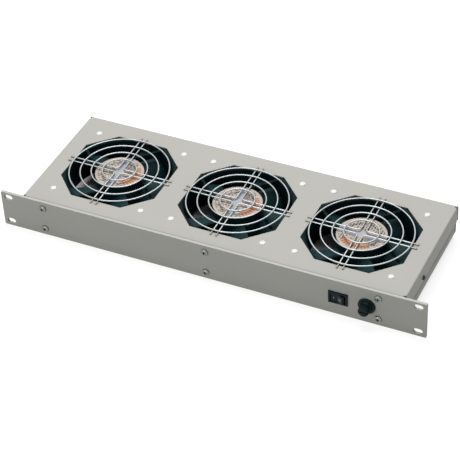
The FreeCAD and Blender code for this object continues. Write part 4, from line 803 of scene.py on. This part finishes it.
def pad_print():
    """White pad-printing ink: matt, and slightly uneven where the pad left it thin."""
    material, tree, place = new_material("white_pad_print")
    thin = add(tree, "ShaderNodeTexNoise", {}, {"Vector": place, "Scale": 1 / (0.5 * MM), "Detail": 2.0})
    tint = overlay(tree, linear("#9FA6A8"), linear("#D5DADB"), thin)
    return finished(material, {"Base Color": tint, "Roughness": 0.6, "IOR": 1.5})


wear(["fuse_link"], clear_glass())

housing_low, housing_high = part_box("switch_housing")
switch_middle = (housing_low + housing_high) / 2
ROCKER_TILT, PIVOT_BACK, VALLEY = math.radians(12), 1.5 * MM, 2.931 * MM
MARK_OUT, MARK_HEIGHT, MARK_LINE, MARK_PROUD = 3.5 * MM, 3.0 * MM, 0.5 * MM, 0.06 * MM


def on_rocker(marks, side):
    """Lays marks on one flat of the rocker, turned with the rocker as its left end is pressed in.

    A point (a, b, c) is a along the flat from its middle, b up and c off it. The flat runs
    from the valley out to its side, falling by the tilt, and the whole is then turned by the
    tilt about the upright pivot.
    """
    flat = Vector((math.cos(ROCKER_TILT), -side * math.sin(ROCKER_TILT), 0))
    out = Vector((-side * math.sin(ROCKER_TILT), -math.cos(ROCKER_TILT), 0))
    start = Vector((0, -VALLEY, 0)) + flat * (side * MARK_OUT)
    turn = Matrix.Rotation(-ROCKER_TILT, 3, "Z")
    axes = np.array(turn @ Matrix((flat, (0, 0, 1), out)).transposed())
    pivot = Vector((switch_middle.x, PIVOT_BACK, switch_middle.z))
    return marks @ axes.T + np.array(turn @ start + pivot)


def printed_ring(radius, line):
    """A flat ring: (R + w cos a) round the middle by u, and MARK_PROUD sin a off it."""
    u = np.linspace(0, 2 * np.pi, 49)[:, None]
    a = np.linspace(0, 2 * np.pi, 8, endpoint=False)[None, :]
    wide = radius + line / 2 * np.cos(a)
    return np.stack([wide * np.cos(u), wide * np.sin(u), MARK_PROUD * np.sin(a) * np.ones_like(u)], axis=-1)


def printed_bar(height, line):
    """A flat bar whose width and thickness go as (1 - up^12)^0.5, so that its ends are soft."""
    up = np.linspace(-1, 1, 21)[:, None]
    a = np.linspace(0, 2 * np.pi, 8, endpoint=False)[None, :]
    wide = np.sqrt(np.clip(1 - np.abs(up) ** 12, 0, 1))
    return np.stack([line / 2 * np.cos(a) * wide, height / 2 * up * np.ones_like(a),
                     MARK_PROUD * np.sin(a) * wide], axis=-1)


marks = [on_rocker(printed_bar(MARK_HEIGHT, MARK_LINE), -1),
         on_rocker(printed_ring(MARK_HEIGHT / 2 - MARK_LINE / 2, MARK_LINE), 1)]
make_piece("switch_on_off_marks", marks, pad_print(), "switch_rocker_body")


# ---- Side joints ------------------------------------------------------------------------
# Half-way down each side runs the line where the folded sheets meet, drawn as a thin dark
# strip: painted shadow under the lip of the joint.

SEAM_DROP, SEAM_WIDE, SEAM_SHORT = 20.5 * MM, 0.9 * MM, 3 * MM
seam_middle = (cover_low.y + cover_high.y) / 2
strip = printed_bar(cover_high.y - cover_low.y - SEAM_SHORT, SEAM_WIDE)
seams = [np.stack([side * (cover_high.x + strip[..., 2]), seam_middle + strip[..., 1],
                   plate_top - SEAM_DROP + strip[..., 0]], axis=-1) for side in (-1, 1)]
# painted shadow along the joint: a dead matt grey
joint_shadow = moulded_nylon("painted_joint_shadow", "#55564F", 0.8, 0.1)
make_piece("side_joint_shadow_lines", seams, joint_shadow, "chassis")


# ---- Cable entry and wiring -------------------------------------------------------------
# A black nylon gland closes the cable hole in the back. Inside, a natural polyamide block
# with brass sleeves shares out the supply, beside the earth stud.

CAP_RADIUS, CAP_BORE, CAP_TAPER, CAP_LIP = 7.2 * MM, 3.3 * MM, 4 * MM, 1.2 * MM
CAP_BEVEL, PLAIN_FOOT, PLAIN_NECK = 0.3 * MM, 1.0 * MM, 0.4 * MM
FLUTES, FLUTE_DEEP, NOSE_POINTS = 18, 0.45 * MM, 8
cap_low, cap_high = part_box("gland_cap")
cap_middle = (cap_low + cap_high) / 2
cap_length = cap_high.y - cap_low.y
gland_start = (cap_middle.x, cap_low.y, cap_middle.z)
# moulded nylon 66: near black, with the sheen of a handled fitting
gland_black = moulded_nylon("black_gland_nylon", "#14181A", 0.45)
wear(["cable_gland", "gland_locknut"], gland_black)


def fluted(grid, share_of_rows):
    """Draws points in towards the axis by deep * (0.5 - 0.5 cos(flutes * angle)) * each row's share."""
    angle = np.arctan2(grid[..., 1], grid[..., 0])
    radius = np.hypot(grid[..., 0], grid[..., 1])
    pull = FLUTE_DEEP * (0.5 - 0.5 * np.cos(FLUTES * angle)) * share_of_rows[:, None]
    share = np.divide(radius - pull, radius, out=np.ones_like(radius), where=radius > 0)
    return grid * np.stack([share, share, np.ones_like(share)], axis=-1)


t = np.linspace(0, np.pi / 2, NOSE_POINTS)
nose = np.stack([CAP_BORE + CAP_LIP + (CAP_RADIUS - CAP_BORE - CAP_LIP) * np.cos(t),
                 cap_length - CAP_TAPER + CAP_TAPER * np.sin(t)], axis=1)
cap_view = np.concatenate([
    [[CAP_BORE, 0], [CAP_RADIUS - CAP_BEVEL, 0], [CAP_RADIUS, CAP_BEVEL], [CAP_RADIUS, PLAIN_FOOT],
     [CAP_RADIUS, cap_length - CAP_TAPER - PLAIN_NECK]], nose, [[CAP_BORE, cap_length], [CAP_BORE, 0]]])
fluted_rows = np.concatenate([[0, 0, 0, 1, 1], np.linspace(1, 0, NOSE_POINTS), [0, 0]])
cap_grid = fluted(lathe(cap_view, 144), fluted_rows)
make_piece("gland_compression_cap", [aimed(cap_grid, gland_start, (0, 1, 0))], gland_black, "chassis",
           ["gland_cap"])

SEAL_BORE, SEAL_DEEP, SEAL_LONG, SEAL_STEP = 2.4 * MM, 1.2 * MM, 5 * MM, (0.4 * MM, 0.2 * MM)
seal_foot, seal_top = cap_length - SEAL_LONG, cap_length - SEAL_DEEP
seal_view = np.array([[CAP_BORE, seal_foot], [CAP_BORE, seal_top],
                      [CAP_BORE - SEAL_STEP[0], seal_top + SEAL_STEP[1]],
                      [SEAL_BORE, cap_length - 1.6 * SEAL_DEEP], [SEAL_BORE, seal_foot],
                      [CAP_BORE, seal_foot]])
# moulded rubber: a flat charcoal with almost no shine
rubber = moulded_nylon("black_nitrile_rubber", "#1B1C1C", 0.7)
make_piece("gland_rubber_seal", [aimed(lathe(seal_view, 48), gland_start, (0, 1, 0))], rubber, "chassis")
# uncoloured polyamide is a creamy white, turned brass a clear yellow, and zinc a pale silver
wear(["terminal_block"], moulded_nylon("natural_polyamide", "#D9D3C2", 0.45))
wear(["terminal_sleeves"], plain_metal("turned_brass", "#B08D4A", 0.3, 1.5 * MM))
wear(["terminal_screws"], plain_metal("zinc_plated_clamp_screw", "#BDBDBA", 0.3, 1.5 * MM))
